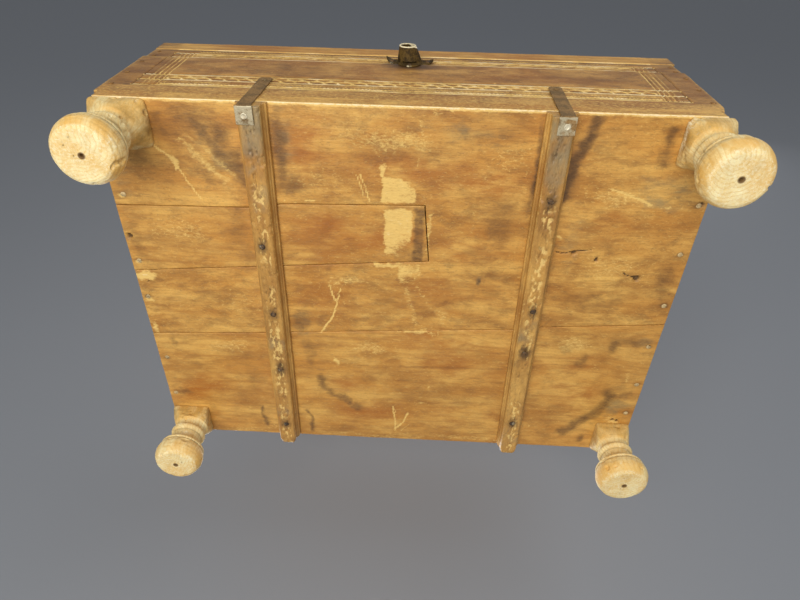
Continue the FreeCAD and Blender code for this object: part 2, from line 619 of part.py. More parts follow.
# ---------------------------------------------------------------- all sub-parts
def main():
    os.makedirs("parts", exist_ok=True)
    write("bottom_plank_front", bottom_plank_front())
    write("bottom_patch_board", bottom_patch_board())
    write("bottom_plank_rear", bottom_plank_rear())
    for name in LEGS:
        write("leg_" + name, leg(name))
    for side in BATTEN_X:
        write("batten_" + side, batten(side))
        write("corner_strap_" + side, corner_strap(side))
    write("front_wall", front_wall())
    write("back_wall", back_wall())
    write("left_wall", side_wall(-1))
    write("right_wall", side_wall(1))
    write("lid_rim_front", lid_rim_long(LID_FRONT_Y, True))
    write("lid_rim_back", lid_rim_long(LID_BACK_Y - BOARD, False))
    write("lid_rim_left", lid_rim_side(-1))
    write("lid_rim_right", lid_rim_side(1))
    write("lid_plank_front", lid_plank(LID_FRONT_Y, LID_SEAMS[0] - SEAM / 2))
    write("lid_plank_middle", lid_plank_middle())
    write("lid_plank_rear", lid_plank(LID_SEAMS[1] + SEAM / 2, LID_BACK_Y))
    write("lid_cleat_left", lid_cleat(CLEAT_X[0]))
    write("lid_cleat_right", lid_cleat(CLEAT_X[1]))
    write("coin_slot_plate", coin_slot_plate())
    write("lock_nozzle", lock_nozzle())
    write("lock_tongue", lock_tongue())
    for side, x in HINGE_X.items():
        write("hinge_body_leaf_" + side, hinge_body_leaf(x))
        write("hinge_lid_leaf_" + side, hinge_lid_leaf(x))
        write("hinge_pin_" + side, hinge_pin(x))
    write("bottom_nails", bottom_nails())
    write("batten_nails", batten_nails())
    write("strap_nails", strap_nails())
    write("wall_nails", wall_nails())
    write("lid_rim_nails", lid_rim_nails())
    write("lid_plank_nails", lid_plank_nails())
    write("cleat_nails", cleat_nails())
    write("slot_plate_nails", slot_plate_nails())
    write("lock_nails", lock_nails())
    write("lock_tongue_nail", lock_tongue_nail())
    write("hinge_body_nails", hinge_body_nails())
    write("hinge_lid_nails", hinge_lid_nails())


main()
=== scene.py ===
"""Looks of an old wooden donation box: aged boards, turned legs and forged iron.

Shapes are worked out in millimetres in the box's own frame: x from its middle,
y from its front face towards the back, and z up from the feet.
"""

import itertools
import math

import bmesh
import bpy
import numpy as np
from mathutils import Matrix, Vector
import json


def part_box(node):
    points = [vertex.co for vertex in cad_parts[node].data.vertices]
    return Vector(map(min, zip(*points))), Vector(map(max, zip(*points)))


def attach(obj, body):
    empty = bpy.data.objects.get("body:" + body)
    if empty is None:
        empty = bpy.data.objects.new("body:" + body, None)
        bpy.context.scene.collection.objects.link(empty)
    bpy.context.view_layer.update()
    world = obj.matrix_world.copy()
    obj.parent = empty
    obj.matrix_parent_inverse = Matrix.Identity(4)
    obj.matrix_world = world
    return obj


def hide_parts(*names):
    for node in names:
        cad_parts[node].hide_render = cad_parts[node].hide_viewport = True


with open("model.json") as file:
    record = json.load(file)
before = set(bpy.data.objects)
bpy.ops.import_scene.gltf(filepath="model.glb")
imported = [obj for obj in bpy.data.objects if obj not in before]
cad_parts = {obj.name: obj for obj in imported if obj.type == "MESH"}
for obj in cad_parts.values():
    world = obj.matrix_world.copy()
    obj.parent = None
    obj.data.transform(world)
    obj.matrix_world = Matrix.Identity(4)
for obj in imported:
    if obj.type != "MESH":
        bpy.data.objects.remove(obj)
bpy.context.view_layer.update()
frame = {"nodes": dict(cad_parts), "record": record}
RECORD = frame["record"]
BODY_OF = {node: body for body, nodes in RECORD["behaviour"]["bodies"].items() for node in nodes}

# ---------------------------------------------------------------- sizes, read from the frame
MM = 1000.0
WALL_LOW, WALL_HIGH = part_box("front_wall")
MIDDLE = Vector(((WALL_LOW.x + WALL_HIGH.x) / 2, WALL_LOW.y, 0.0))


def span(node):
    """Lowest and highest corner of a CAD node, in the box's own frame."""
    low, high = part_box(node)
    return np.array((low - MIDDLE) * MM), np.array((high - MIDDLE) * MM)


HALF_W = span("front_wall")[1][0]
BOX_D = span("back_wall")[1][1]
PANEL_Z = span("bottom_plank_front")[0][2]       # outer face of the bottom boards

# seams between the bottom boards, as points (x, y) along each
PATCH_FRONT = ((-HALF_W, 80.8), (-116, 78.9), (-90, 74.8), (16, 72.0), (HALF_W, 66.0))
PATCH_REAR = ((-HALF_W, 139.7), (-92, 129.5), (16, 120.5), (HALF_W, 104.0))
REAR_SEAM = ((-HALF_W, 204.2), (-117, 198.6), (-92, 196.4), (93, 183.6), (113, 180.0), (HALF_W, 171.8))
PATCH_END = (14.5, 18.6)                         # x of its cut end, at its front and rear
SEAM = 0.6                                       # width of the gaps

# carved bands, as heights above the underside of the bottom boards
CASE_LINES = (28.9, 41.3, 53.0)
LID_LINES = (106.0, 117.3, 127.6)
SIDE_BAND = (177.5, 181.0, 184.5, 188.0)         # |x| of the upright grooves
SIDE_BAND_END = 194.6                            # |x| of the groove that ends them
SIDE_BAND_Z = (29.0, 118.0)

# legs: axis (x, y), size of the square block (x, y) and radius of the foot
LEGS = {
    "front_left": ((-194.5, 17.5), (41.0, 35.0), 22.5),
    "front_right": ((199.5, 17.5), (32.0, 35.0), 22.5),
    "rear_left": ((-196.0, 308.0), (34.0, 33.0), 21.0),
    "rear_right": ((199.5, 306.5), (31.0, 36.0), 22.5),
}
BLOCK_H = 12.5
# turned shoulder that takes the corners off the block: radius, and depth below the boards
SHOULDER = ((25.5, 0.0), (25.0, 1.2), (22.6, 3.2), (19.9, 6.2), (17.4, 9.6), (15.4, 12.5))
SOLE_EDGE = 5.5                                  # the flat sole stops this far inside the foot
SOLE_HOLE = ((1.9, 0.0), (1.5, 0.5), (1.2, 1.8), (0.8, 3.6), (0.3, 5.6))      # radius, height
BATTEN_X = {"left": (-103.0, -105.8), "right": (101.5, 105.0)}      # front, rear end
LOCK_X, LOCK_Z = -1.5, 165.0
SLOT_MIDDLE = sum(span("coin_slot_plate")) / 2
SLOT_HALF = (30.0, 4.0)                          # half the coin slot's length and width


# ---------------------------------------------------------------- repeatable roughness
def scatter(cells, seed):
    """A repeatable value from -1 to 1 for each whole-numbered cell (n x 3)."""
    mixed = cells[:, 0] * 374761393 + cells[:, 1] * 668265263 + cells[:, 2] * 2147483647 + seed * 97531
    mixed = (mixed ^ (mixed >> 13)) * 1274126177
    mixed = mixed ^ (mixed >> 16)
    return (mixed & 0xFFFFFF) / 8388607.5 - 1


def rough(points, size, seed, octaves=2):
    """Smooth bumps from -1 to 1 at 3-D points; size is their spacing along x, y and z."""
    total = np.zeros(len(points))
    reach = 0.0
    for octave in range(octaves):
        strength = 0.5 ** octave
        scaled = points / np.asarray(size, float) * 2 ** octave + 17.31 * seed
        cell = np.floor(scaled).astype(np.int64)
        part = scaled - cell
        part = part * part * (3 - 2 * part)
        for corner in itertools.product((0, 1), repeat=3):
            weight = np.prod(np.where(corner, part, 1 - part), axis=1)
            total += strength * weight * scatter(cell + np.array(corner), seed + octave)
        reach += strength
    return total / reach


def smooth(value, low, high):
    """0 below low and 1 above high, with an even curve between."""
    share = np.clip((value - low) / (high - low), 0, 1)
    return share * share * (3 - 2 * share)


def blob(flat, x, y, rx, ry, turn=0.0):
    """1 inside a soft-edged oval of flat points (n x 2), falling to 0 outside it."""
    c, s = math.cos(math.radians(turn)), math.sin(math.radians(turn))
    dx, dy = flat[:, 0] - x, flat[:, 1] - y
    return 1 - smooth(np.hypot((dx * c + dy * s) / rx, (dy * c - dx * s) / ry), 0.2, 1.5)


def away_from(flat, line):
    """Distance of flat points (n x 2) from a line through several points."""
    nearest = np.full(len(flat), 1e9)
    for start, end in zip(line, line[1:]):
        a, along = np.array(start, float), np.array(end, float) - np.array(start, float)
        share = np.clip((flat - a) @ along / (along @ along), 0, 1)
        nearest = np.minimum(nearest, np.linalg.norm(flat - a - share[:, None] * along, axis=1))
    return nearest


def stroke(flat, line, width):
    """1 along a line through several points, with edges that are softer on wide strokes."""
    softness = 0.75 if width < 3 else 1.0
    return 1 - smooth(away_from(flat, line), width * (1 - softness) * 0.8, width * softness)


# ---------------------------------------------------------------- marks on the bottom, (x, y)
# ovals: strength, x, y, half-length, half-width, turn
PALE_OVALS = (
    (0.5, -8, 26, 34, 9, 0), (0.35, -34, 20, 18, 8, 0), (0.3, 74, 34, 20, 14, 0),
    (0.3, -66, 58, 22, 10, 0), (0.9, -163, 44, 5, 3, 60), (0.8, 116, 94, 4, 2, 50),
    (1.0, -208, 145, 10, 4, 0), (0.5, -44, 139, 20, 6, 0), (0.9, -58.5, 228, 2.2, 6, 0),
    (0.3, -44, 228, 14, 4, 0), (0.8, 14, 190.5, 18, 2, -6), (0.5, -26, 212, 24, 9, 0),
    (0.6, 198, 285, 9, 6, 0), (0.5, 145, 198, 17, 13, 0), (0.5, 199, 232, 3, 7, 0),
    (0.7, -212, 197, 3, 9, 0), (0.7, -209, 168, 5, 3, 0), (0.9, -209, 73, 3, 2, 0),
    (0.8, -209, 131, 4, 2, 0), (0.6, -141, 292, 1.5, 1.5, 0), (0.6, 123, 299, 1.6, 2, 0),
    (0.5, 19, 275, 5, 1.5, 0), (0.5, 26, 256, 1.5, 5, 0), (0.4, -30, 322, 60, 4, 0),
    (0.4, 60, 321, 60, 4, 0), (0.35, -150, 322, 40, 4, 0), (0.4, -122, 309, 4, 12, 0),
    (0.5, 66, 32, 2, 3, 0), (0.5, 20, 5, 4, 2, 0), (0.45, 150, 60, 26, 9, 10),
    (0.35, 160, 120, 32, 14, 0), (0.45, -150, 215, 24, 9, 0), (0.4, -170, 100, 30, 12, 0),
    (0.3, -130, 170, 26, 14, 0),
)
# rectangles: strength, x from and to, y from and to
PALE_BOXES = (
    (1.0, -17, 8, 52, 71.2), (1.0, -17.5, -14, 42, 56), (1.0, -14.5, 6, 76, 118),
    (0.7, 16.8, 20.5, 78, 116), (1.0, -24, 14, 122.5, 127), (0.8, -4, 14, 124, 142),
)
# ovals where later dirt covers the pale scrapes again
COVER_OVALS = (
    (1.0, 11, 53, 8, 7, 0), (1.0, 7, 116, 14, 13, -35), (0.8, -10, 119, 10, 4, 0),
    (0.6, 8, 140, 10, 6, 0),
)
STAIN_BOXES = (
    (0.85, 6.8, 15.5, 74, 122), (0.4, -8, 7, 108, 121),
)
# lines: strength, width, points
PALE_LINES = (
    (1.0, 1.6, ((-59, 147), (-53, 164), (-57, 178), (-68, 195))), (0.9, 1.4, ((-50, 149), (-53, 164))),
    (0.9, 2.0, ((-175, 34), (-163, 44), (-163, 51))), (0.8, 1.5, ((-163, 46), (-157, 60), (-149, 74))),
    (0.9, 1.6, ((-88, 73), (-74, 72.4), (-60, 72))), (0.6, 1.0, ((-56, 72), (-20, 71))),
    (0.5, 1.0, ((-116, 77), (-200, 78.5))), (0.55, 5.0, ((-158, 28), (-145, 42), (-128, 58))),
    (0.45, 4.0, ((-152, 24), (-138, 36), (-122, 54))), (0.8, 1.4, ((-32, 50), (-28, 61), (-25, 71))),
    (0.8, 1.2, ((-35, 49), (-32, 58), (-29, 67))), (0.8, 1.8, ((-6, 282), (-4, 298), (-3, 314))),
    (0.8, 2.2, ((-4, 312), (4, 303), (8, 290))), (0.6, 1.2, ((2, 315), (9, 306))),
    (0.6, 1.4, ((-7, 281), (-2, 290))), (0.9, 1.8, ((146, 54), (166, 61), (180, 66), (198, 66))),
    (0.7, 1.2, ((25, 190), (26, 195))), (0.5, 1.2, ((31, 189), (31, 195))),
    (0.5, 1.5, ((8, 42), (12, 24), (10, 10))), (0.4, 1.2, ((-22, 30), (-12, 44))),
    (0.5, 1.3, ((-16, 104), (-10, 118))), (0.5, 1.5, ((0, 122), (6, 141))),
    (0.45, 5.0, ((2, 142), (8, 160), (14, 178), (22, 186))), (0.4, 4.0, ((6, 140), (20, 156), (38, 180))),
)
# dark ovals: strength, x, y, half-length, half-width, turn; the bands beside the battens and the marks
# beside the front legs' blocks are painted shade over stains
STAIN_AND_SHADE_OVALS = (
    (0.9, 60, 137, 2.2, 4.5, 0), (0.75, -88, 32, 6, 40, 0), (0.6, -80, 62, 12, 12, 40),
    (0.9, 91, 40, 4, 42, 0), (0.5, 116, 46, 6, 32, 0), (0.5, 47, 67.5, 17, 2, 0),
    (0.8, -53, 273, 10, 7, 10), (0.7, -38, 283, 9, 6, 0), (0.5, -80, 222, 6, 26, 0),
    (0.6, -82, 184, 8, 18, 0), (0.6, 198, 191, 13, 6, 0), (0.7, 179, 196, 6, 8, 30),
    (0.7, 156, 218, 5, 11, 10), (0.6, 140, 205, 9, 8, 40), (0.7, 181, 128, 4, 4, 0),
    (0.45, -134, 246, 9, 26, 0), (0.7, -203, 273, 11, 5, 0), (0.6, -198, 213, 3, 9, 0),
    (0.5, -209, 232, 6, 6, 0), (0.9, 172, 314, 6, 9, 0), (0.45, -150, 30, 34, 30, 0),
    (0.6, -140, 50, 14, 14, 0), (0.4, -20, 34, 60, 12, 0), (0.35, 60, 16, 40, 9, 0),
    (0.35, -164, 24, 9, 18, 10), (0.3, -160, 12, 22, 9, 0), (0.4, -40, 30, 22, 10, 0),
    (0.45, 40, 20, 26, 8, 0), (0.4, 60, 130, 20, 30, 0), (0.35, -60, 100, 20, 14, 0),
    (0.6, 204, 128, 8, 20, 0), (0.5, -206, 110, 6, 18, 0), (0.8, -127, 24, 12, 14, 0),
    (0.8, -119, 44, 9, 15, 0), (0.6, -142, 11, 26, 8, 0), (0.4, 150, 150, 28, 9, 0),
    (0.4, 30, 160, 40, 8, 0), (0.45, 70, 90, 12, 26, 0),
)
# dark lines: strength, width, points; the two beside the front legs' blocks are painted shade over stains
STAIN_AND_SHADE_LINES = (
    (0.8, 13.0, ((-143, 16), (-129, 38), (-112, 62))), (0.5, 9.0, ((-170, 12), (-165, 26))),
    (0.45, 16.0, ((-128, 84), (-122, 130))), (0.9, 12.0, ((190, 256), (178, 280), (153, 305))),
    (0.6, 9.0, ((205, 250), (190, 262))), (0.8, 4.0, ((-129, 293), (-131, 304), (-128, 315))),
    (0.8, 5.0, ((-87, 293), (-82, 305), (-83, 319))),
    (0.8, 8.0, ((-73, 247), (-69, 260), (-62, 270), (-44, 278))),
    (0.4, 3.0, ((-34, 246), (-28, 258), (-33, 270))), (0.5, 3.0, ((0, 231), (40, 230), (92, 229))),
    (0.45, 3.5, ((0, 246), (50, 244), (92, 243))), (0.95, 8.0, ((126, 6), (115, 32), (112, 66))),
    (0.75, 7.0, ((177, 8), (175, 31))), (0.7, 5.0, ((10, 76), (12, 118))),
    (0.5, 5.0, ((-145, 20), (-136, 36), (-119, 53))),
)
WARM_OVALS = (
    (0.9, -66, 30, 26, 20, 0), (0.8, 58, 52, 30, 12, 0), (0.7, 0, 44, 50, 10, 0),
    (0.9, -60, 96, 30, 14, 0), (0.8, -20, 100, 30, 14, 0), (0.7, 50, 108, 26, 16, 0),
    (0.7, 40, 200, 50, 16, 0), (0.9, -185, 268, 38, 14, -28), (0.7, -47, 259, 17, 14, 0),
    (0.8, 160, 252, 24, 17, 0), (0.6, 45, 225, 46, 22, 0), (0.7, -30, 290, 36, 14, 0),
    (0.5, 60, 290, 40, 16, 0), (0.5, 150, 222, 30, 16, 20), (0.5, 40, 150, 40, 22, 0),
    (0.4, -60, 160, 30, 20, 0), (0.5, -60, 104, 26, 22, 0), (0.5, 40, 50, 36, 18, 0),
    (0.4, 160, 80, 36, 22, 0),
)
GRIME_OVALS = (
    (0.45, 182, 50, 26, 14, 0), (0.4, 40, 18, 30, 10, 0), (0.4, -84, 30, 8, 30, 0),
    (0.5, -132, 36, 9, 24, -35), (0.6, 180, 66, 22, 6, 0), (0.35, -82, 190, 9, 26, 0),
    (0.5, 203, 190, 12, 8, 0), (0.7, 60, 137, 2.5, 5, 0), (0.5, 196, 268, 13, 16, 30),
    (0.4, -205, 60, 9, 20, 0), (0.4, 126, 100, 9, 30, 0),
)
# nail holes and knots: radius, depth, x, y
HOLES = (
    (2.3, 5, -211.5, 108), (1.7, 3, 129, 107), (2.4, 3, 181, 128), (1.4, 3, 211, 63),
    (1.5, 2.5, 198, 286), (1.2, 2.5, 202, 287), (1.6, 3, 147, 113), (1.0, 2.5, -206, 150),
)
# cracks: width, depth, points
CRACKS = (
    (0.7, 1.4, ((115, 107), (122, 108), (129, 106), (142, 104))),
    (0.9, 1.4, ((169, 123), (174, 126), (180, 127))),
)


def ragged(points, size, seed, octaves):
    """Two-way wandering, from -1 to 1, that roughens the outlines of marks."""
    return np.stack([rough(points, size, seed, octaves), rough(points, size, seed + 4, octaves)], 1)


def chipped_edge(points, distance, size, seed, least, most):
    """1 along an edge that is chipped to uneven depths, from its distance."""
    depth = least + most * np.clip(rough(points, size, seed, 3), 0, 1) ** 2
    return 1 - smooth(distance, 0.5 * depth, 1.2 * depth)


def on_bottom(points):
    """Paint of the bottom boards: pale scrapes, dark stains with painted shade beside the battens and the
    front legs, warm areas and grey grime.
    """
    flat = points[:, :2]
    drift = ragged(points, (16, 16, 900), 5, 3)
    small = ragged(points, (4, 3, 900), 15, 2)
    bent = flat + 6.0 * drift + 1.6 * small      # for large marks
    near = flat + 0.9 * small                    # for small ones
    torn = flat + 1.6 * small + 1.2 * drift      # for rectangles
    outer = smooth(PANEL_Z + 3.0 - points[:, 2], 0, 2.0)

    def gather(ovals, lines=(), boxes=()):
        total = np.zeros(len(flat))
        for strength, x0, x1, y0, y1 in boxes:
            outside_x = np.maximum(x0 - torn[:, 0], torn[:, 0] - x1)
            outside_y = np.maximum(y0 - torn[:, 1], torn[:, 1] - y1)
            inside = 1 - smooth(np.maximum(outside_x, outside_y), -1.6, 1.2)
            total = np.maximum(total, strength * (0.86 + 0.3 * small[:, 0]) * inside)
        for strength, x, y, rx, ry, turn in ovals:
            spots = bent if max(rx, ry) > 5 else near
            total = np.maximum(total, strength * blob(spots, x, y, rx, ry, turn))
        for strength, width, line in lines:
            spots = bent if width > 3 else near
            total = np.maximum(total, strength * stroke(spots, line, width))
        return total * outer

    front_edge = chipped_edge(points, points[:, 1], (9, 9, 900), 25, 1.1, 4.0)
    scrapes = gather(PALE_OVALS, PALE_LINES, PALE_BOXES) * (1 - gather(COVER_OVALS))
    nail_dirt = np.zeros(len(flat))
    for nail in islands("bottom_nails"):
        x, y, _ = nail.mean(0)
        nail_dirt = np.maximum(nail_dirt, blob(near, x, y, 4.5, 3.2))
    return {
        "pale": np.maximum(scrapes, 1.4 * front_edge),
        "stain": np.maximum(gather(STAIN_AND_SHADE_OVALS, STAIN_AND_SHADE_LINES, STAIN_BOXES), 0.7 * nail_dirt * outer),
        "warm": gather(WARM_OVALS),
        "grime": gather(GRIME_OVALS),
    }


def worn_surface(points):
    """Shallow hand-planed waves and raised grain along x, as depth below the face."""
    waves = 0.16 * (1 + rough(points, (70, 45, 45), 31, 2))
    grain = 0.06 * (1 + rough(points, (26, 1.7, 1.7), 33, 2))
    return waves + grain


def bottom_relief(points):
    """Depth of the bottom's worn face, and the painted shade that darkens its holes and cracks."""
    flat = points[:, :2]
    depth = worn_surface(points)
    hollow_shade = np.zeros(len(flat))
    wander = (rough(points, (3, 3, 900), 41, 2), rough(points, (3, 3, 900), 43, 2))
    near = flat + 0.5 * np.stack(wander, 1)
    for radius, deep, x, y in HOLES:
        inside = 1 - smooth(np.hypot(near[:, 0] - x, near[:, 1] - y), radius * 0.7, radius * 1.2)
        depth += deep * inside
        hollow_shade = np.maximum(hollow_shade, inside)
    for width, deep, line in CRACKS:
        inside = 1 - smooth(away_from(near, line), width * 0.2, width * 0.8)
        depth += deep * inside
        hollow_shade = np.maximum(hollow_shade, inside)
    for strength, width, line in PALE_LINES:
        depth += 0.25 * strength * stroke(near, line, width)
    return depth, hollow_shade


# ---------------------------------------------------------------- carving of the front
def strongest(*layers):
    """The greatest of several layers at each point."""
    return np.maximum.reduce(np.broadcast_arrays(*layers))


def line_of(distance, width):
    """1 at no distance, falling to 0 at about half the width."""
    return 1 - smooth(np.abs(distance), 0.2 * width, 0.62 * width)


def lens_row(along, across, pitch, height, seed):
    """Flat lens-shaped cuts side by side, each a little different from the next."""
    number = np.floor(along / pitch)
    cells = np.stack([number, np.zeros_like(number), np.zeros_like(number)], 1).astype(np.int64)
    local = (along - (number + 0.5) * pitch) / (0.5 * pitch)
    lean = across / height + 0.16 * local + 0.06 * scatter(cells, seed)
    tall = 0.5 * (1 - local ** 2) * (1 + 0.25 * scatter(cells, seed + 3))
    return np.clip(1 - np.abs(lean) / np.maximum(tall, 0.02), 0, 1)


def hatch_row(along, across, pitch, height):
    """A row of fine upright nicks."""
    local = np.abs((along / pitch) % 1.0 - 0.5) * 2
    return np.clip(1 - (np.abs(across) / (height / 2)) ** 2, 0, 1) * np.clip(1.3 - 1.6 * local, 0, 1)


def carving(x, up):
    """The front's carving at x and a height above the bottom's underside: how deep it is cut, and painted
    highlight lines beside the cuts.
    """
    inner = 1 - smooth(np.abs(x), SIDE_BAND[0] - 2, SIDE_BAND[0] - 1)
    low, high = SIDE_BAND_Z
    tall = smooth(up, low - 1, low) * (1 - smooth(up, high, high + 1))
    reach = 1 - smooth(np.abs(x), 195, 196)
    cuts, lits = [], []
    # lits are painted highlights along the lower rims of the cuts and of the reeds
    for line in CASE_LINES + LID_LINES:
        cuts.append(0.8 * line_of(up - line - 1.9, 2.0) * reach)
        lits.append(line_of(up - line + 0.2, 2.7) * reach)
    low, mid, high = CASE_LINES
    for number, (line, height) in enumerate(((mid + 3.6, 4.6), (high - 3.4, 4.2))):
        lens = inner * lens_row(x + 5.1 * number, up - line, 10.3, height, 3 + number)
        cuts.append(0.95 * lens)
        ground = line_of(up - line + 0.2 * height, 1.3 * height) * (1 - 2 * lens)
        lits.append(0.85 * inner * ground)
    cuts.append(0.45 * inner * hatch_row(x, up - (low + mid) / 2, 2.7, 8.6))
    lits.append(0.9 * inner * line_of(up - low - 3.6, 2.4))
    lits.append(0.35 * inner * line_of(up - (low + mid) / 2 - 1.5, 6))
    low, mid, high = LID_LINES
    cuts.append(0.7 * inner * lens_row(x + 3, up - (low + mid) / 2 - 0.8, 11.2, 4.8, 11))
    for line, strength in ((low + 4.2, 0.8), (mid - 3.2, 0.8), (mid + 4.8, 0.7)):
        lits.append(strength * inner * line_of(up - line, 2.2))
    cuts.append(0.35 * inner * hatch_row(x, up - (mid + high) / 2, 2.7, 7.4))
    for line, strength in zip(SIDE_BAND, (0.75, 0.6, 0.6, 0.4)):
        lits.append(strength * line_of(np.abs(x) - line, 1.2) * tall)
        cuts.append(0.8 * strength * line_of(np.abs(x) - line - 1.5, 1.2) * tall)
    cuts.append(0.9 * line_of(np.abs(x) - SIDE_BAND_END, 1.6) * tall)
    cuts.append(0.4 * tall * hatch_row(up, np.abs(x) - 182.5, 5.2, 3.4))
    return np.clip(strongest(*cuts), 0, None), np.clip(strongest(*lits), 0, None)


def carved_at(points):
    x, up = points[:, 0], points[:, 2] - PANEL_Z
    return carving(x + 0.35 * rough(points, (9, 9, 9), 53), up + 0.3 * rough(points, (30, 9, 6), 55))


def front_relief(points):
    """Depth of the carved front, with the cuts worn shallower in places, and the painted shade that darkens
    each cut.
    """
    worn = 0.75 + 0.45 * rough(points, (45, 40, 18), 51, 2)
    cut, _ = carved_at(points)
    return worn_surface(points) + 1.1 * cut * np.clip(worn, 0.3, 1.0), 0.7 * np.clip(cut * worn, 0, 1)


# dark ovals on the front: strength, x, height above the bottom's underside, half-width, half-height; the
# three round the lock are a stain and painted shadow below its nozzle
FRONT_STAINS_AND_SHADOW = (
    (1.2, 190, 116, 5, 2.6), (1.2, -190, 116, 5, 2.6), (1.0, -197, 27, 6, 2.6),
    (1.0, LOCK_X, 94, 26, 11), (1.5, LOCK_X - 2, 98, 19, 5.5), (0.8, LOCK_X - 18, 101, 7, 7),
)


def on_front(points):
    """Paint of the front: painted highlight lines beside the carving, darker fields and ends, and a stain
    with painted shadow below the lock.
    """
    x, up = points[:, 0], points[:, 2] - PANEL_Z
    outer = smooth(5.0 - points[:, 1], 0, 3.0)
    breaks = np.clip(0.9 + 0.7 * rough(points, (14, 9, 5), 61, 3), 0, 1)
    _, lit = carved_at(points)
    low_edge = chipped_edge(points, up, (9, 9, 9), 63, 0.8, 2.4)
    golden = 0.42 * smooth(x, 60, 150) * (1 - smooth(up, 10, 27))
    flat = np.stack([x, up], 1)
    low_strip = 1 - smooth(up, 24, 28)
    left_corner = 1.4 * blob(flat, -213, 8, 3.2, 4)
    # pale: painted highlights beside the carving, with the worn lower edge, corner and paler patches
    pale = strongest(1.5 * lit * breaks, 1.3 * low_edge, golden, left_corner, 0.4 * low_strip)
    field = 0.6 * np.clip(rough(points, (60, 9, 22), 65, 3) - 0.05, 0, 1)
    beside = 0.45 * smooth(np.abs(x), 184, 188) * smooth(up, 28, 30) * (1 - smooth(up, 118, 119))
    lid_band = 0.6 * smooth(up, 117, 122) * (1 - smooth(up, 126, 128))
    ends = 0.5 * smooth(np.abs(x), 192, 199)
    # the ovals round the lock add painted shadow below its nozzle
    ovals = [strength * blob(flat, *oval) for strength, *oval in FRONT_STAINS_AND_SHADOW]
    stain = strongest(field, beside, lid_band, ends, *ovals) * (1 - 0.9 * low_strip)
    warm = np.clip(0.2 + 0.6 * rough(points, (70, 9, 40), 67, 2), 0, 1)
    warm = np.maximum(warm, 0.3 * low_strip * (1 - smooth(x, 40, 150)))
    return {"pale": pale * outer, "stain": stain * outer, "warm": warm * outer, "grime": 0 * x}


def plain_relief(points):
    return worn_surface(points), np.zeros(len(points))


def plain_paint(points):
    """Paint of the boards that carry no special marks: broad patches of wear and dirt."""
    stain = 0.7 * np.clip(rough(points, (60, 60, 60), 71, 3) - 0.1, 0, 1)
    warm = np.clip(0.2 + 0.6 * rough(points, (80, 80, 80), 73, 2), 0, 1)
    pale = 0.8 * np.clip(rough(points, (34, 34, 34), 75, 3) - 0.28, 0, 1)
    grime = 0.6 * np.clip(rough(points, (50, 50, 50), 77, 2) - 0.25, 0, 1)
    return {"pale": pale, "stain": stain, "warm": warm, "grime": grime}


# ---------------------------------------------------------------- meshes
def linked(name, data):
    """A new object in the scene."""
    obj = bpy.data.objects.new(name, data)
    bpy.context.scene.collection.objects.link(obj)
    return obj


def new_piece(name, node, points, quads, fans, material, values):
    """A shown piece from points in the box's frame; it stands for the CAD node given."""
    mesh = bpy.data.meshes.new(name)
    faces = np.concatenate([np.asarray(quads, np.int64).ravel()] + [np.asarray(f, np.int64) for f in fans])
    starts = [4 * np.arange(len(quads))]
    at = 4 * len(quads)
    for fan in fans:
        starts.append([at])
        at += len(fan)
    mesh.vertices.add(len(points))
    mesh.vertices.foreach_set("co", (points / MM + np.array(MIDDLE)).astype(np.float32).ravel())
    mesh.loops.add(len(faces))
    mesh.loops.foreach_set("vertex_index", faces.astype(np.int32))
    mesh.polygons.add(len(quads) + len(fans))
    mesh.polygons.foreach_set("loop_start", np.concatenate(starts).astype(np.int32))
    mesh.update(calc_edges=True)
    flat = [True] * len(quads) + [False] * len(fans)
    mesh.polygons.foreach_set("use_smooth", flat)
    for key, value in values.items():
        mesh.attributes.new(key, "FLOAT", "POINT").data.foreach_set("value", value.astype(np.float32))
    mesh.validate()
    settle(linked(name, mesh), node, material)


def settle(obj, node, material):
    """Gives a piece its material, and sets it on the body of the node that it stands for."""
    obj.data.materials.clear()
    obj.data.materials.append(material)
    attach(obj, BODY_OF[node])
    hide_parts(node)


FACES = {  # outer face of a board: axes along, across and through it, and its outer end
    "below": (0, 1, 2, 0), "above": (0, 1, 2, 1), "front": (0, 2, 1, 0),
    "back": (0, 2, 1, 1), "left": (1, 2, 0, 0), "right": (1, 2, 0, 1),
}


def lines(low, high, step, margin=3.0):
    """Lattice lines from low to high, with the first and last a margin in from the ends."""
    inner = np.linspace(low + margin, high - margin, max(2, int((high - low - 2 * margin) / step) + 1))
    return np.concatenate([[low], inner, [high]])


def rim_loops(solid):
    """Runs of lattice corners round the wood, going round with the wood on the left."""
    padded = np.pad(solid, 1)
    after = {}
    sides = (
        (padded[1:-1, :-2], (0, 0), (1, 0)), (padded[2:, 1:-1], (1, 0), (1, 1)),
        (padded[1:-1, 2:], (1, 1), (0, 1)), (padded[:-2, 1:-1], (0, 1), (0, 0)),
    )
    for neighbour, start, end in sides:
        for i, j in np.argwhere(solid & ~neighbour):
            after[(i + start[0], j + start[1])] = (i + end[0], j + end[1])
    loops = []
    while after:
        loop = [next(iter(after))]
        while after[loop[-1]] != loop[0]:
            loop.append(after[loop[-1]])
        for corner in loop:
            del after[corner]
        loops.append(np.array(loop))
    return loops


def inward(outline):
    """For each corner of a closed outline, the offset that moves both its sides in by 1."""
    forward = np.roll(outline, -1, axis=0) - outline
    forward /= np.linalg.norm(forward, axis=1)[:, None]
    side = np.stack([-forward[:, 1], forward[:, 0]], 1)
    before = np.roll(side, 1, axis=0)
    return (side + before) / (1 + np.sum(side * before, axis=1))[:, None]


def edge_radii(spots, edge, seed):
    """How far a board's worn edge is rounded at each spot of its rim."""
    uneven = rough(spots, (14, 14, 14), seed + 80, 3)
    chips = np.clip(rough(spots, (30, 30, 30), seed + 82, 2) - 0.25, 0, 1)
    return np.clip(edge * (0.75 + 0.5 * uneven + 1.1 * chips), 0.25, 2.6)


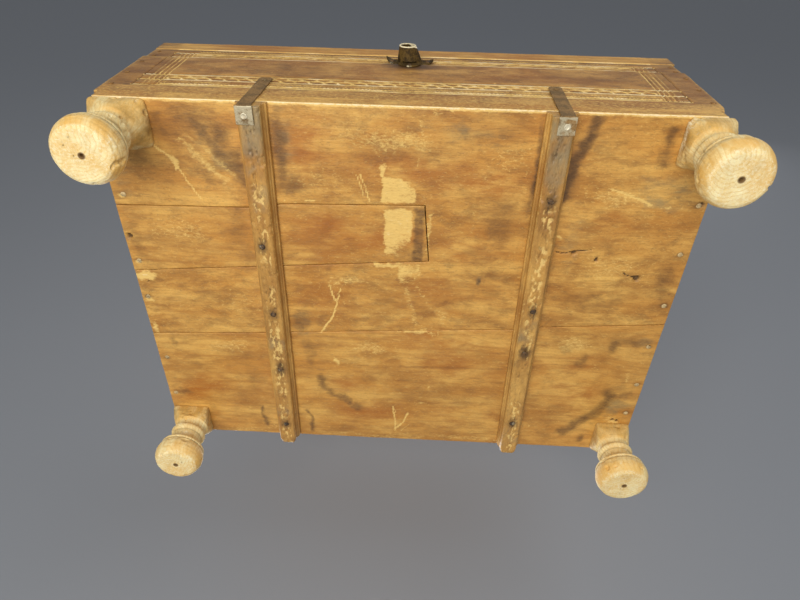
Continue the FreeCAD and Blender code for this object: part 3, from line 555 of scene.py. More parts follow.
def rim_sheets(radius, depth, thick, wall, two_faced):
    """Rings over a board's edge and down its side: inset, depth and wear of each."""
    back_radius = np.clip(radius * 0.7, 0.25, 1.6)
    sheets = []
    for angle in (60, 30, 0):
        c, s = math.cos(math.radians(angle)), math.sin(math.radians(angle))
        sheets.append((radius * (1 - c), radius * (1 - s) + depth * s, 1.0))
    for share in np.linspace(0, 1, max(2, int(thick / wall)) + 1)[1:-1]:
        sheets.append((0 * radius, radius + (thick - radius - back_radius) * share, 0.25))
    for angle in (0, 45) if two_faced else (0, 30, 60, 90):
        c, s = math.cos(math.radians(angle)), math.sin(math.radians(angle))
        sheets.append((back_radius * (1 - c), thick - back_radius * (1 - s), 0.9))
    return sheets


def bridge(ring, after):
    """Faces between two closed rings of point numbers."""
    return np.stack([ring, after, np.roll(after, -1), np.roll(ring, -1)], 1)


def board(node, face, material, steps=(2.0, 1.6), us=None, vs=None, bend=None, solid=None,
          relief=plain_relief, paint=plain_paint, edge=1.3, wall=3.0, two_faced=False, seed=1, rub=0.6):
    """A worn board in the place of a CAD node: its outer face is a lattice of points at us and vs,
    bent and with some cells left out, and its edges are rounded by wear. A two-faced board is open
    all through where cells are left out."""
    low, high = span(node)
    u, v, t, outer_end = FACES[face]
    thick = high[t] - low[t]
    us = lines(low[u], high[u], steps[0]) if us is None else us
    vs = lines(low[v], high[v], steps[1]) if vs is None else vs
    solid = np.ones((len(us) - 1, len(vs) - 1), bool) if solid is None else solid(us, vs)
    grid_u, grid_v = np.meshgrid(us, vs, indexing="ij")
    if bend is not None:
        grid_u, grid_v = bend(grid_u, grid_v)
    number = np.arange(grid_u.size).reshape(grid_u.shape)
    flat = np.stack([grid_u.ravel(), grid_v.ravel()], 1)

    def place(flat_points, depth):
        made = np.zeros((len(flat_points), 3))
        made[:, u], made[:, v] = flat_points[:, 0], flat_points[:, 1]
        made[:, t] = low[t] + depth if outer_end == 0 else high[t] - depth
        return made

    cells = np.argwhere(solid)
    corner = [number[cells[:, 0] + a, cells[:, 1] + b] for a, b in ((0, 0), (1, 0), (1, 1), (0, 1))]
    quads, fans = [np.stack(corner, 1)], []
    rims = [number[loop[:, 0], loop[:, 1]] for loop in rim_loops(solid)]
    distance = np.full(len(flat), 1e9)
    for point in np.concatenate([flat[ids][::6] for ids in rims]):
        distance = np.minimum(distance, np.linalg.norm(flat - point, axis=1))
    shaped = []
    for ids in rims:
        base = flat[ids].copy()
        offset, radius = inward(base), edge_radii(place(base, 0), edge, seed)
        flat[ids] = base + offset * radius[:, None]
        distance[ids] = 0
        shaped.append((ids, base, offset, radius))

    depth, hollow_shade = relief(place(flat, np.zeros(len(flat))))
    edge_wear = np.exp(-distance / 2.5)
    points, hollows, wear = [place(flat, depth)], [hollow_shade], [edge_wear]
    total = len(flat)
    if two_faced:
        back = number.ravel() + total
        points.append(place(flat, thick - 0.5 * depth))
        hollows.append(np.zeros(total))
        wear.append(edge_wear)
        quads.append(np.stack([back[c] for c in corner][::-1], 1))
        total += len(flat)
    for ids, base, offset, radius in shaped:
        last = ids
        for inset, deep, worn in rim_sheets(radius, depth[ids], thick, wall, two_faced):
            spots = place(base, deep)
            dents = 0.12 * (1 + rough(spots, (9, 9, 1.4), seed + 90, 2))
            dents *= smooth(deep, 0.3, 2.0) * smooth(thick - deep, 0.3, 2.0)
            ring = np.arange(total, total + len(ids))
            points.append(place(base + offset * (inset + dents)[:, None], deep))
            hollows.append(np.zeros(len(ids)))
            wear.append(np.full(len(ids), worn))
            quads.append(bridge(last, ring))
            last = ring
            total += len(ids)
        if two_faced:
            quads.append(bridge(last, back[ids]))
        else:
            fans.append(last[::-1])

    points, quads = np.concatenate(points), np.concatenate(quads)
    axes = np.eye(3)
    outwards = axes[t] * (1 if outer_end else -1)
    if np.dot(np.cross(axes[u], axes[v]), outwards) < 0:
        quads = quads[:, ::-1]
        fans = [fan[::-1] for fan in fans]
    used = np.zeros(len(points), bool)
    used[quads.ravel()] = True
    renumber = np.cumsum(used) - 1
    values = paint(points[used])
    values["edge"] = rub * np.concatenate(wear)[used]
    values["hollow_shade"] = np.concatenate(hollows)[used]
    points, quads, fans = points[used], renumber[quads], [renumber[fan] for fan in fans]
    new_piece(node + "_wood", node, points, quads, fans, material, values)


def tube(node, rings, material, values):
    """A closed piece from rings of points (rings x points x 3), each joined to the next."""
    many, count = rings.shape[:2]
    number = np.arange(many * count).reshape(many, count)
    quads = np.stack([number[:-1], np.roll(number, -1, 1)[:-1], np.roll(number, -1, 1)[1:], number[1:]], -1)
    fans = [number[0][::-1], number[-1]]
    points = rings.reshape(-1, 3)
    new_piece(node + "_wood", node, points, quads.reshape(-1, 4), fans, material, values)


def evenly_along(corners, count=None, spacing=None):
    """Evenly spaced points along the line through the corners, as two arrays."""
    first, second = np.array(corners).T
    length = np.concatenate([[0], np.cumsum(np.hypot(np.diff(first), np.diff(second)))])
    at = np.linspace(0, length[-1], count or int(length[-1] / spacing))
    return np.interp(at, length, first), np.interp(at, length, second)


# ---------------------------------------------------------------- legs
def leg_outline(foot_r):
    """Radius and depth below the bottom boards, down the turning from the block."""
    f = foot_r
    neck = (
        (15.4, 12.6), (14.6, 13.2), (13.4, 14.2), (12.8, 15.4), (12.4, 17.2), (12.4, 18.9),
        (13.2, 19.5), (14.4, 20.3), (15.3, 21.5), (15.6, 22.8), (15.2, 24.3), (14.2, 25.5),
        (13.1, 26.1), (12.4, 27.6), (12.0, 29.5), (12.2, 31.8), (13.0, 33.6), (14.4, 35.0),
    )
    foot = (
        (f - 5.2, 35.9), (f - 3.2, 37.1), (f - 1.9, 38.3), (f - 1.6, 39.4), (f - 1.7, 40.2),
        (f - 2.6, 40.7), (f - 2.0, 41.3), (f - 0.9, 43.0), (f - 0.2, 45.4), (f, 47.6),
        (f - 0.3, 50.4), (f - 1.2, 53.2), (f - 2.5, 55.4), (f - 3.7, 56.9), (f - SOLE_EDGE, 57.9),
    )
    return evenly_along(neck + foot, spacing=0.55)


def leg_block(which, c, s):
    """How far a leg's square block reaches from the leg's axis, in the directions (c, s)."""
    (x, y), (block_x, block_y), _ = LEGS[which]
    x0 = -HALF_W if x < 0 else HALF_W - block_x
    y0 = 0.0 if y < BOX_D / 2 else BOX_D - block_y
    sides = ((c, x0 + block_x - x), (-c, x - x0), (s, y0 + block_y - y), (-s, y - y0))
    return sum((np.clip(part, 0, 1) / size) ** 15 for part, size in sides) ** (-1 / 15) - 0.35


def leg_rings(foot_r, square):
    """Radius and depth of each ring of a leg, from its block to the hole in its sole."""
    limits, depths = np.array(SHOULDER).T
    rings = []
    for below in np.linspace(0, BLOCK_H - 0.1, 26):
        limit = np.interp(below, depths, limits)
        rings.append(((square ** -22 + limit ** -22) ** (-1 / 22), below))
    rings += zip(*leg_outline(foot_r))
    for radius in np.linspace(foot_r - SOLE_EDGE, SOLE_HOLE[0][0], 15)[1:]:
        rings.append((radius, PANEL_Z - 0.02 * (foot_r - radius)))
    rings += [(radius, PANEL_Z - up) for radius, up in SOLE_HOLE[1:]]
    radius = np.array([np.broadcast_to(r, square.shape) for r, _ in rings])
    return radius, np.array([np.full(square.shape, b) for _, b in rings])


def leg_paint(flat, radius, below, lost, turned, seed):
    """Paint of a leg: mottled pale wood, with painted shade in the grooves, in deep chips and round the
    hole in the sole.
    """
    grooves = np.min([np.abs(below - groove) for groove in (18.9, 26.2, 40.7)], axis=0)
    # painted shade in the lathe's grooves
    hollow_shade = 0.45 * np.clip(1 - grooves / 1.1, 0, 1) * turned
    hole = smooth(2.6 - radius, 0, 1.0)
    foot = np.maximum(1 - smooth(np.abs(below - 52), 2, 8), 1 - smooth(below, 12, 16))
    dirt = np.clip(rough(flat, (12, 12, 8), seed + 14, 3) - 0.25, 0, 1)
    return {
        "pale": np.clip(rough(flat, (14, 14, 9), seed + 12, 3) * 0.9 - 0.08, 0, 1),
        "stain": np.maximum(dirt + 0.5 * (1 - smooth(below, 10, 16)), hole),
        "warm": np.clip(foot + rough(flat, (16, 16, 16), seed + 16, 2) * 0.5, 0, 1),
        "grime": np.clip(rough(flat, (20, 20, 12), seed + 18, 3) - 0.3, 0, 1),
        "edge": 0.5 * (1 - smooth(np.abs(below - 57.2), 0.6, 3.0)),
        "hollow_shade": np.maximum(np.maximum(hollow_shade, 0.9 * hole), np.clip(lost - 1.1, 0, 1) * 0.25),
    }


def leg(which, material):
    """A turned leg below its sawn block: dented, chipped, ringed by the lathe and dished below."""
    (x, y), _, foot_r = LEGS[which]
    seed = 200 + 10 * list(LEGS).index(which)
    angle = np.linspace(0, 2 * math.pi, 168, endpoint=False)
    c, s = np.cos(angle), np.sin(angle)
    square = leg_block(which, c, s)
    radius, below = leg_rings(foot_r, square)

    def points_at(radius, below):
        return np.stack([x + radius * c, y + radius * s, PANEL_Z - below], -1)

    spots = points_at(radius, below).reshape(-1, 3)
    turned = ((below > BLOCK_H + 0.2) | (square - radius >= 1.2)).ravel()
    dents = 1.1 * np.clip(rough(spots, (9, 9, 5), seed, 3) - 0.15, 0, 1)
    chips = 1.6 * smooth(rough(spots, (7, 7, 6), seed + 2, 2), 0.42, 0.62)
    saw = 0.18 * (1 + rough(spots, (30, 30, 1.3), seed + 4, 2)) * ~turned
    lathe = 0.14 * (1 + rough(spots, (300, 300, 0.9), seed + 6, 1)) * turned
    lost = np.where(radius.ravel() > 6, dents + chips + saw + lathe, 0.05)
    radius = radius - lost.reshape(radius.shape)
    dish = 0.25 * (1 + rough(spots, (5, 5, 9), seed + 8, 2)).reshape(radius.shape)
    below = np.clip(below - np.where((below > 56.5) & (radius > 2.5), dish, 0), 0, PANEL_Z)
    points = points_at(radius, below)
    values = leg_paint(points.reshape(-1, 3), radius.ravel(), below.ravel(), lost, turned, seed)
    values = {key: value.reshape(radius.shape)[::-1].ravel() for key, value in values.items()}
    tube("leg_" + which, points[::-1], material, values)


# ---------------------------------------------------------------- battens
def batten_section():
    """A batten's moulding from foot to foot: distance from its middle, and depth from its top."""
    corners = (
        (10.8, 0.1), (10.8, 1.6), (10.6, 3.0), (10.1, 3.4), (9.6, 3.1), (9.3, 4.3), (8.8, 4.9),
        (8.2, 5.1), (8.0, 6.4), (7.9, 8.0), (7.6, 9.6), (7.2, 10.5), (6.4, 10.95), (5.0, 11.0),
        (0.0, 11.0),
    )
    out, down = evenly_along(corners, count=30)
    return np.concatenate([out, -out[-2::-1]]), np.concatenate([down, down[-2::-1]])


def nail_smudge(flat, side):
    """Dark smudges round the nails of one batten."""
    smudge = np.zeros(len(flat))
    for nail in islands("batten_nails"):
        x, y, _ = nail.mean(0)
        if (x < 0) == (side == "left"):
            smudge = np.maximum(smudge, 0.75 * blob(flat, x, y, 5.5, 8))
    return smudge


def batten(side, material):
    """A moulded rail: thin side fillets, a raised middle and a flaked, worn crown."""
    _, (_, end, base_z) = span("batten_" + side)
    seed = 300 if side == "left" else 320
    out, down = batten_section()
    turn = 9.0                                   # length of the rounded rear end
    round_end = end - turn + (turn - 0.05) * np.sin(np.linspace(0.05, math.pi / 2, 14))
    stations = np.concatenate([np.linspace(0.05, end - turn, 400), round_end])
    y, across = np.meshgrid(stations, out, indexing="ij")
    deep = np.repeat(down[None], len(stations), 0)
    middle = np.interp(stations, (0, end), BATTEN_X[side])[:, None]
    spots = np.stack([middle + across, y, base_z - deep], -1).reshape(-1, 3)

    crown = smooth(deep, 6.0, 9.5).ravel()
    ridge = 1 - smooth(np.abs(across).ravel(), 3.0, 6.5)
    flakes = smooth(rough(spots, (1.7, 3.4, 3), seed, 3), -0.22, 0.22) * ridge
    flakes *= smooth(rough(spots, (14, 26, 14), seed + 1, 2), -0.6, 0.0)
    crevice = smooth(rough(spots, (1.2, 3.6, 3), seed + 5, 3), 0.1, 0.4) * ridge
    bites = smooth(rough(spots, (9, 7, 9), seed + 2, 2), 0.4, 0.62) * smooth(np.abs(across).ravel(), 4, 7)
    fibres = 0.16 * (1 + rough(spots, (1.5, 16, 1.5), seed + 4, 2))
    lost = (crown * (0.4 * flakes + 0.6 * crevice + 1.3 * bites) + fibres).reshape(deep.shape)
    tail = np.clip((y - (end - turn)) / turn, 0, 1)
    deep = deep * (1 - 0.35 * tail ** 6) - lost * (deep > 1.0)
    across = across * np.sqrt(1 - 0.88 * tail ** 2.5)
    uneven = 0.10 * (1 + rough(spots, (9, 12, 2.5), seed + 6, 2)).reshape(deep.shape)
    wander = 0.3 * rough(np.stack([0 * stations, stations, 0 * stations], 1), (9, 70, 9), seed + 8, 2)
    across = 0.97 * (across - np.sign(across) * uneven) + wander[:, None]
    points = np.stack([middle + across, y, base_z - np.clip(deep, 0.02, None)], -1)

    flat = points.reshape(-1, 3)
    y, across, deep, tail = y.ravel(), np.abs(across.ravel()), deep.ravel(), tail.ravel()
    front_dark = np.clip(0.75 + 0.6 * rough(spots, (7, 22, 7), seed + 16, 3), 0, 1) * (1 - smooth(y, 5, 72))
    smudge = nail_smudge(spots[:, :2], side)
    patches = np.clip(rough(flat, (60, 26, 60), seed + 10, 3) + 0.1, 0, 1)
    shoulder = 0.7 * np.clip(1 - np.abs(across - 7.4) / 1.2, 0, 1) * crown
    fillet = 0.3 * np.clip(1 - np.abs(across - 9.0) / 0.7, 0, 1) * (deep < 6)
    # crevice adds painted shade in the crown's crevices
    dark = 0.05 + 0.3 * patches * crown + 0.25 * front_dark + 0.4 * crevice * crown + smudge
    grime = rough(flat, (30, 16, 30), seed + 14, 2) * 0.6 + 0.65 * front_dark
    values = {
        "pale": crown * np.clip(0.75 * flakes * smooth(y, 20, 80) + 0.3 * bites - 0.6 * smudge, 0, 1),
        "stain": np.clip(dark, 0, 1),
        "warm": np.clip(0.3 + rough(flat, (30, 30, 30), seed + 12, 2), 0, 1),
        "grime": np.clip(crown * grime, 0, 1),
        "edge": np.maximum(shoulder, fillet) * (1 - tail),
        # painted shade in the groove beside the raised middle
        "hollow_shade": 0.3 * np.clip(1 - np.abs(across - 8.3) / 0.7, 0, 1) * (deep < 6.2),
    }
    tube("batten_" + side, points, material, values)


# ---------------------------------------------------------------- iron
def forged(node, material, voxel=0.45, dent=0.3, seed=0, pit=0.0, rubbed=None, shape=None):
    """A hammered, pitted copy of a CAD iron piece, kept inside its box unless shape moves it."""
    source = frame["nodes"][node]
    obj = linked(node + "_iron", source.data.copy())
    remesh = obj.modifiers.new("remesh", "REMESH")
    remesh.mode = "VOXEL"
    remesh.voxel_size = voxel / MM
    depsgraph = bpy.context.evaluated_depsgraph_get()
    mesh = bpy.data.meshes.new_from_object(obj.evaluated_get(depsgraph))
    obj.modifiers.clear()
    obj.data = mesh
    count = len(mesh.vertices)
    points, normals = np.zeros(count * 3), np.zeros(count * 3)
    mesh.vertices.foreach_get("co", points)
    mesh.vertices.foreach_get("normal", normals)
    points, normals = points.reshape(-1, 3) * MM, normals.reshape(-1, 3)
    bumps = 0.5 * dent * (1 + rough(points, (6, 6, 6), seed, 2))
    pits = pit * smooth(rough(points, (1.6, 1.6, 1.6), seed + 2, 2), 0.35, 0.7)
    low, high = points.min(0), points.max(0)
    points = np.clip(points - normals * (bumps + pits)[:, None], low, high)
    local = points - np.array(MIDDLE) * MM
    if shape is not None:
        points = shape(local) + np.array(MIDDLE) * MM
    mesh.vertices.foreach_set("co", (points / MM).astype(np.float32).ravel())
    patch = np.clip(rough(points, (9, 9, 9), seed + 4, 3) + 0.35, 0, 1)
    # rubbed gives the pale attribute: wear on the straps, painted highlights and shadow on the lock
    if rubbed is not None:
        patch = np.clip(0.5 * (patch - 0.35) + rubbed(local), 0, 1)
    mesh.attributes.new("pale", "FLOAT", "POINT").data.foreach_set("value", patch.astype(np.float32))
    mesh.polygons.foreach_set("use_smooth", [True] * len(mesh.polygons))
    mesh.update()
    settle(obj, node, material)


def strap_rub(points):
    """The plate on the batten is rubbed bright; the leg up the front is brown."""
    plate = smooth(points[:, 1], -1.0, 0.2) * smooth(PANEL_Z - 8 - points[:, 2], 0, 2)
    bright = 0.5 + 0.55 * rough(points, (3.5, 3.5, 3.5), 91, 2) + 0.5 * (1 - smooth(points[:, 1], 0.3, 1.6))
    return 0.05 + plate * bright


def nozzle_highlights_and_shadow(points):
    """Painted highlights on the nozzle's rim and inside, a little on its right side and its ears, and
    painted shadow on its collar.
    """
    x, y = points[:, 0] - LOCK_X, points[:, 1]
    rim = np.maximum(1 - smooth(y, -12.3, -11.2), (y < -6) * (np.hypot(x, points[:, 2] - LOCK_Z) < 5.4))
    side = 0.45 * smooth(x, 5.0, 8.0) * (np.abs(x) < 11)
    ear = 0.5 * smooth(np.abs(x), 12, 13.5) * (1 - smooth(np.abs(x), 16.5, 18))
    collar = smooth(y, -7.0, -5.0) * (np.abs(x) < 12)
    return np.maximum(np.maximum(1.2 * rim, side), ear) - 1.0 * collar - 0.05


def tongue_shadow_and_edge_highlight(points):
    """The tongue is painted dark as shadow, with a thin painted highlight along its lower edge."""
    low = points[:, 2].min()
    return 0.45 - 0.9 * smooth(points[:, 2], low + 0.2, low + 0.5)


def pale_rub(points):
    return np.full(len(points), 0.6)


def spread_ears(points):
    """The outer edges of the nozzle's ears stand off the lid."""
    x = points[:, 0] - LOCK_X
    lift = np.where(x < 0, 4.2, 2.4) * np.clip((np.abs(x) - 12.5) / 6.5, 0, 1) ** 2
    moved = points.copy()
    moved[:, 1] -= lift
    return moved


def islands(node):
    """Vertex positions of each separate solid of a CAD node, in the box's frame."""
    work = bmesh.new()
    work.from_mesh(frame["nodes"][node].data)
    bmesh.ops.remove_doubles(work, verts=work.verts, dist=1e-6)
    found, seen = [], set()
    for vert in work.verts:
        if vert in seen:
            continue
        group, stack = [], [vert]
        seen.add(vert)
        while stack:
            here = stack.pop()
            group.append(here.co)
            for edge in here.link_edges:
                other = edge.other_vert(here)
                if other not in seen:
                    seen.add(other)
                    stack.append(other)
        found.append(np.array([(co - MIDDLE) * MM for co in group]))
    work.free()
    return found


DOMED = ((0.45, -1.2), (0.5, -0.25), (1.0, -0.1), (0.98, 0.28), (0.8, 0.72), (0.5, 0.95), (0.2, 1.0))
DISHED = ((0.45, -1.2), (0.5, -0.25), (1.0, -0.1), (1.0, 0.6), (0.82, 1.0), (0.6, 0.7), (0.35, 0.1))


def nail_rings(solid, rows, random):
    """Rings round a nail from its shank up over its head, and whether they turn right-handed."""
    sides = 16
    low, high = solid.min(0), solid.max(0)
    axis = int(np.argmax(high - low))
    first, second = [a for a in range(3) if a != axis]
    centre = (low + high) / 2
    spread = np.hypot(solid[:, first] - centre[first], solid[:, second] - centre[second])
    base = solid[np.argmax(spread), axis]
    outward = 1.0 if abs(base - high[axis]) < abs(base - low[axis]) else -1.0
    tall = abs((high[axis] if outward > 0 else low[axis]) - base)
    uneven = 1 - 0.18 * random.random(sides)
    tilt = random.uniform(-0.12, 0.12, 2)
    rings = np.zeros((len(rows), sides, 3))
    for ring, (share, up) in zip(rings, rows):
        angle = np.linspace(0, 2 * math.pi, sides, endpoint=False) + 0.3 * random.random()
        c, s = np.cos(angle), np.sin(angle)
        radius = share * spread.max() * (uneven if share > 0.45 else 1)
        ring[:, first], ring[:, second] = centre[first] + radius * c, centre[second] + radius * s
        lean = (tilt[0] * c + tilt[1] * s - 0.14) * share * (up > 0)
        height = tall * up * (0.86 - 0.1 * random.random(sides)) + lean
        ring[:, axis] = base + outward * np.minimum(height, tall)
    axes = np.eye(3)
    return rings, np.dot(np.cross(axes[first], axes[second]), axes[axis]) * outward > 0


def nail_heads(node, material, seed, rows=DOMED, rubbed=None):
    """Hand-made nail heads in the places of the CAD nails: uneven, flattened or dished."""
    points, quads, fans = [], [], []
    total = 0
    for number, solid in enumerate(islands(node)):
        rings, right_handed = nail_rings(solid, rows, np.random.default_rng(seed + number))
        many, sides = rings.shape[:2]
        ids = total + np.arange(many * sides).reshape(many, sides)
        around = np.roll(ids, -1, 1)
        quad = np.stack([ids[:-1], around[:-1], around[1:], ids[1:]], -1).reshape(-1, 4)
        points.append(rings.reshape(-1, 3))
        quads.append(quad if right_handed else quad[:, ::-1])
        cap, foot = ids[-1], ids[0][::-1]
        fans += [cap, foot] if right_handed else [cap[::-1], foot[::-1]]
        total += many * sides
    points = np.concatenate(points)
    patch = rough(points, (3, 3, 3), seed, 2)
    pale = np.clip(patch + 0.3 if rubbed is None else 0.3 * patch + rubbed(points), 0, 1)
    quads = np.concatenate(quads)
    new_piece(node + "_iron", node, points, quads, fans, material, {"pale": pale})


# ---------------------------------------------------------------- materials
def tone(text):
    """A linear colour from a hexadecimal one."""
    parts = [int(text[i:i + 2], 16) / 255 for i in (0, 2, 4)]
    return tuple(p / 12.92 if p <= 0.04045 else ((p + 0.055) / 1.055) ** 2.4 for p in parts) + (1.0,)


class Finish:
    """One node material, made by short calls that each return a socket."""

    def __init__(self, name):
        self.material = bpy.data.materials.new(name)
        self.material.use_nodes = True
        self.tree = self.material.node_tree
        self.tree.nodes.clear()
        self.place = self.node("ShaderNodeTexCoord").outputs["Object"]

    def node(self, kind, inputs=(), **settings):
        made = self.tree.nodes.new(kind)
        for key, value in settings.items():
            setattr(made, key, value)
        for key, value in dict(inputs).items():
            if isinstance(value, bpy.types.NodeSocket):
                self.tree.links.new(value, made.inputs[key])
            else:
                made.inputs[key].default_value = value
        return made

    def stretched(self, size, offset=(0, 0, 0)):
        """The place on the piece, scaled so that one unit is size millimetres."""
        inputs = {"Vector": self.place, "Scale": tuple(MM / s for s in size), "Location": offset}
        return self.node("ShaderNodeMapping", inputs).outputs[0]

    def noise(self, size, detail=3.0, roughness=0.55, distortion=0.0, offset=(0, 0, 0)):
        inputs = {"Vector": self.stretched(size, offset), "Scale": 1.0, "Detail": detail,
                  "Roughness": roughness, "Distortion": distortion}
        return self.node("ShaderNodeTexNoise", inputs).outputs["Fac"]

    def step(self, value, low, high, to=(0.0, 1.0)):
        inputs = {"Value": value, "From Min": low, "From Max": high, "To Min": to[0], "To Max": to[1]}
        return self.node("ShaderNodeMapRange", inputs, interpolation_type="SMOOTHSTEP").outputs[0]

    def math(self, operation, a, b=0.0, clamp=False):
        made = self.node("ShaderNodeMath", {0: a, 1: b}, operation=operation)
        made.use_clamp = clamp
        return made.outputs[0]

    def times(self, a, b):
        return self.math("MULTIPLY", a, b)

    def plus(self, a, b, clamp=False):
        return self.math("ADD", a, b, clamp)

    def minus(self, a, b):
        return self.math("SUBTRACT", a, b)

    def swing(self, value, strength):
        """A noise value turned into one from -strength / 2 to strength / 2."""
        return self.times(self.minus(value, 0.5), strength)

    def mix(self, share, a, b):
        return self.node("ShaderNodeMix", {0: share, 6: a, 7: b}, data_type="RGBA").outputs[2]

    def painted(self, name):
        return self.node("ShaderNodeAttribute", attribute_name=name).outputs["Fac"]

    def close(self, colour, roughness, height, distance, metallic=0.0, specular=0.5):
        """The shader; distance is the height of the bumps in millimetres."""
        bump = self.node("ShaderNodeBump", {"Height": height, "Strength": 1.0, "Distance": distance / MM})
        inputs = {"Base Color": colour, "Roughness": roughness, "Metallic": metallic,
                  "Normal": bump.outputs[0], "Specular IOR Level": specular}
        shader = self.node("ShaderNodeBsdfPrincipled", inputs)
        self.node("ShaderNodeOutputMaterial", {"Surface": shader.outputs[0]})
        return self.material


def along(axis, length, width):
    """Size of a grain feature that is long on one axis."""
    return tuple(length if i == axis else width for i in range(3))


def wood(name, axis=0, offset=(0, 0, 0), tones=("E6B25A", "C88C3C", "9E6626"), dark="664624", bare="F2CA74",
         red="B0661E", grey="8A7C58", pit="2E1C0C", ring=4.2, rings=0.2, fibres=0.08, clouds=1.0,
         pith=(0.0, 0.0, 0.09), shine=0.5):
    """Old waxed wood with its grain along one axis, stained, scraped and rubbed; its paint also darkens
    hollows as painted shade and lightens the front's carving with painted highlights.
    """
    f = Finish(name)
    light, middle, deep, dark, bare, pit = (tone(t) for t in (*tones, dark, bare, pit))
    streak = f.noise(along(axis, 60, 5.0), 4, 0.6, 0.3, offset)
    fibre = f.noise(along(axis, 12, 0.55), 3, 0.6, 0.0, offset)
    pores = f.noise(along(axis, 5, 0.5), 2, 0.5, 0.0, offset)
    spot = f.noise((3.4, 3.4, 3.4), 4, 0.65, 0.3, offset)
    fleck = f.noise(along(axis, 2.8, 1.5), 4, 0.7, 0.6, offset)
    mottle = f.noise(along(axis, 15, 8), 5, 0.6, 0.3, offset)
    speck = f.noise(along(axis, 1.9, 1.2), 3, 0.6, 0.3, offset)
    patchy = f.noise(along(axis, 38, 17), 5, 0.6, 0.3, offset)

    # the wood itself: light and dark years, clouds and streaks
    broad = f.noise(along(axis, 70, 30), 4, 0.6, 0.4, offset)
    colour = f.mix(f.step(broad, 0.34, 0.66), light, middle)
    colour = f.mix(f.step(patchy, 0.42, 0.68, (0.0, 0.35 + 0.4 * clouds)), colour, deep)
    colour = f.mix(f.step(mottle, 0.46, 0.68, (0.0, 0.5 * clouds)), colour, dark)
    colour = f.mix(f.step(speck, 0.54, 0.70, (0.0, 0.35 * clouds)), colour, dark)
    colour = f.mix(f.step(streak, 0.45, 0.72, (0.0, 0.6 - 0.32 * clouds)), colour, deep)
    colour = f.mix(f.step(year_rings(f, axis, offset, pith, ring), 0.55, 1.0, (0.0, rings)), colour, deep)

    # warm areas, golden flecks, grey grime, and dark stains with painted shade
    warm = f.math("MULTIPLY", f.painted("warm"), f.step(patchy, 0.30, 0.62), True)
    colour = f.mix(f.times(warm, 0.75), colour, tone(red))
    gold = f.minus(fleck, f.times(f.painted("stain"), 0.2))
    colour = f.mix(f.step(gold, 0.54, 0.72, (0.0, 0.2 + 0.3 * clouds)), colour, bare)
    grime = f.step(f.plus(f.painted("grime"), f.minus(mottle, 0.5)), 0.15, 0.85)
    colour = f.mix(f.times(grime, 0.7), colour, tone(grey))
    soft = f.plus(f.plus(f.painted("stain"), f.swing(patchy, 0.8)), f.swing(fleck, 0.7))
    colour = f.mix(f.times(f.step(soft, 0.15, 1.05), 0.85), colour, dark)
    colour = f.mix(f.step(soft, 0.75, 1.3, (0.0, 0.6)), colour, pit)

    # bare wood where it is scraped or rubbed, and along the front's painted highlight lines; chalky where
    # the pale attribute runs over 1, on the most worn edges and on those highlight lines
    pale = f.plus(f.painted("pale"), f.swing(fleck, 1.5))
    rubbed = f.plus(f.times(f.painted("edge"), 0.75), f.minus(fleck, 0.5))
    scraped_and_lit = f.math("MAXIMUM", f.step(pale, 0.22, 0.85), f.step(rubbed, 0.25, 0.75))
    colour = f.mix(f.times(scraped_and_lit, 0.85), colour, bare)
    colour = f.mix(f.step(pale, 1.0, 1.5, (0.0, 0.85)), colour, tone("FFE9BC"))

    # fibres, pores, and painted shade in the hollows
    colour = f.mix(f.step(fibre, 0.3, 0.75, (0.0, fibres)), colour, pit)
    colour = f.mix(f.step(pores, 0.60, 0.76, (0.0, 2.2 * fibres)), colour, pit)
    hollow_shade = f.step(f.painted("hollow_shade"), 0.1, 0.8)
    colour = f.mix(f.times(hollow_shade, 0.85), colour, pit)

    roughness = f.plus(shine, f.times(f.math("MAXIMUM", scraped_and_lit, hollow_shade), 0.25))
    roughness = f.plus(roughness, f.swing(spot, 0.25), True)
    height = f.plus(f.plus(f.times(fibre, 0.35), f.times(spot, 0.3)), f.times(fleck, 0.55))
    height = f.minus(height, f.times(f.step(pores, 0.58, 0.72), 0.3))
    return f.close(colour, roughness, f.minus(height, f.times(scraped_and_lit, 0.2)), 0.35)


def year_rings(f, axis, offset, pith, ring):
    """Year rings, ring millimetres apart, round a wavering line through the pith."""
    warp = f.noise(along(axis, 130, 34), 2, 0.5, 0.0, offset)
    bend = {0: warp, 1: (0.02, 0.02, 0.02)}
    from_pith = {0: f.place, 1: tuple(-p for p in pith)}
    place = {0: f.node("ShaderNodeVectorMath", from_pith, operation="ADD").outputs[0],
             1: f.node("ShaderNodeVectorMath", bend, operation="MULTIPLY").outputs[0]}
    wave = {"Vector": f.node("ShaderNodeVectorMath", place, operation="ADD").outputs[0],
            "Scale": 314.0 / ring, "Distortion": 1.2, "Detail": 2.0, "Detail Scale": 0.6}
    return f.node("ShaderNodeTexWave", wave, wave_type="RINGS", rings_direction="XYZ"[axis],
                  wave_profile="SAW").outputs["Fac"]


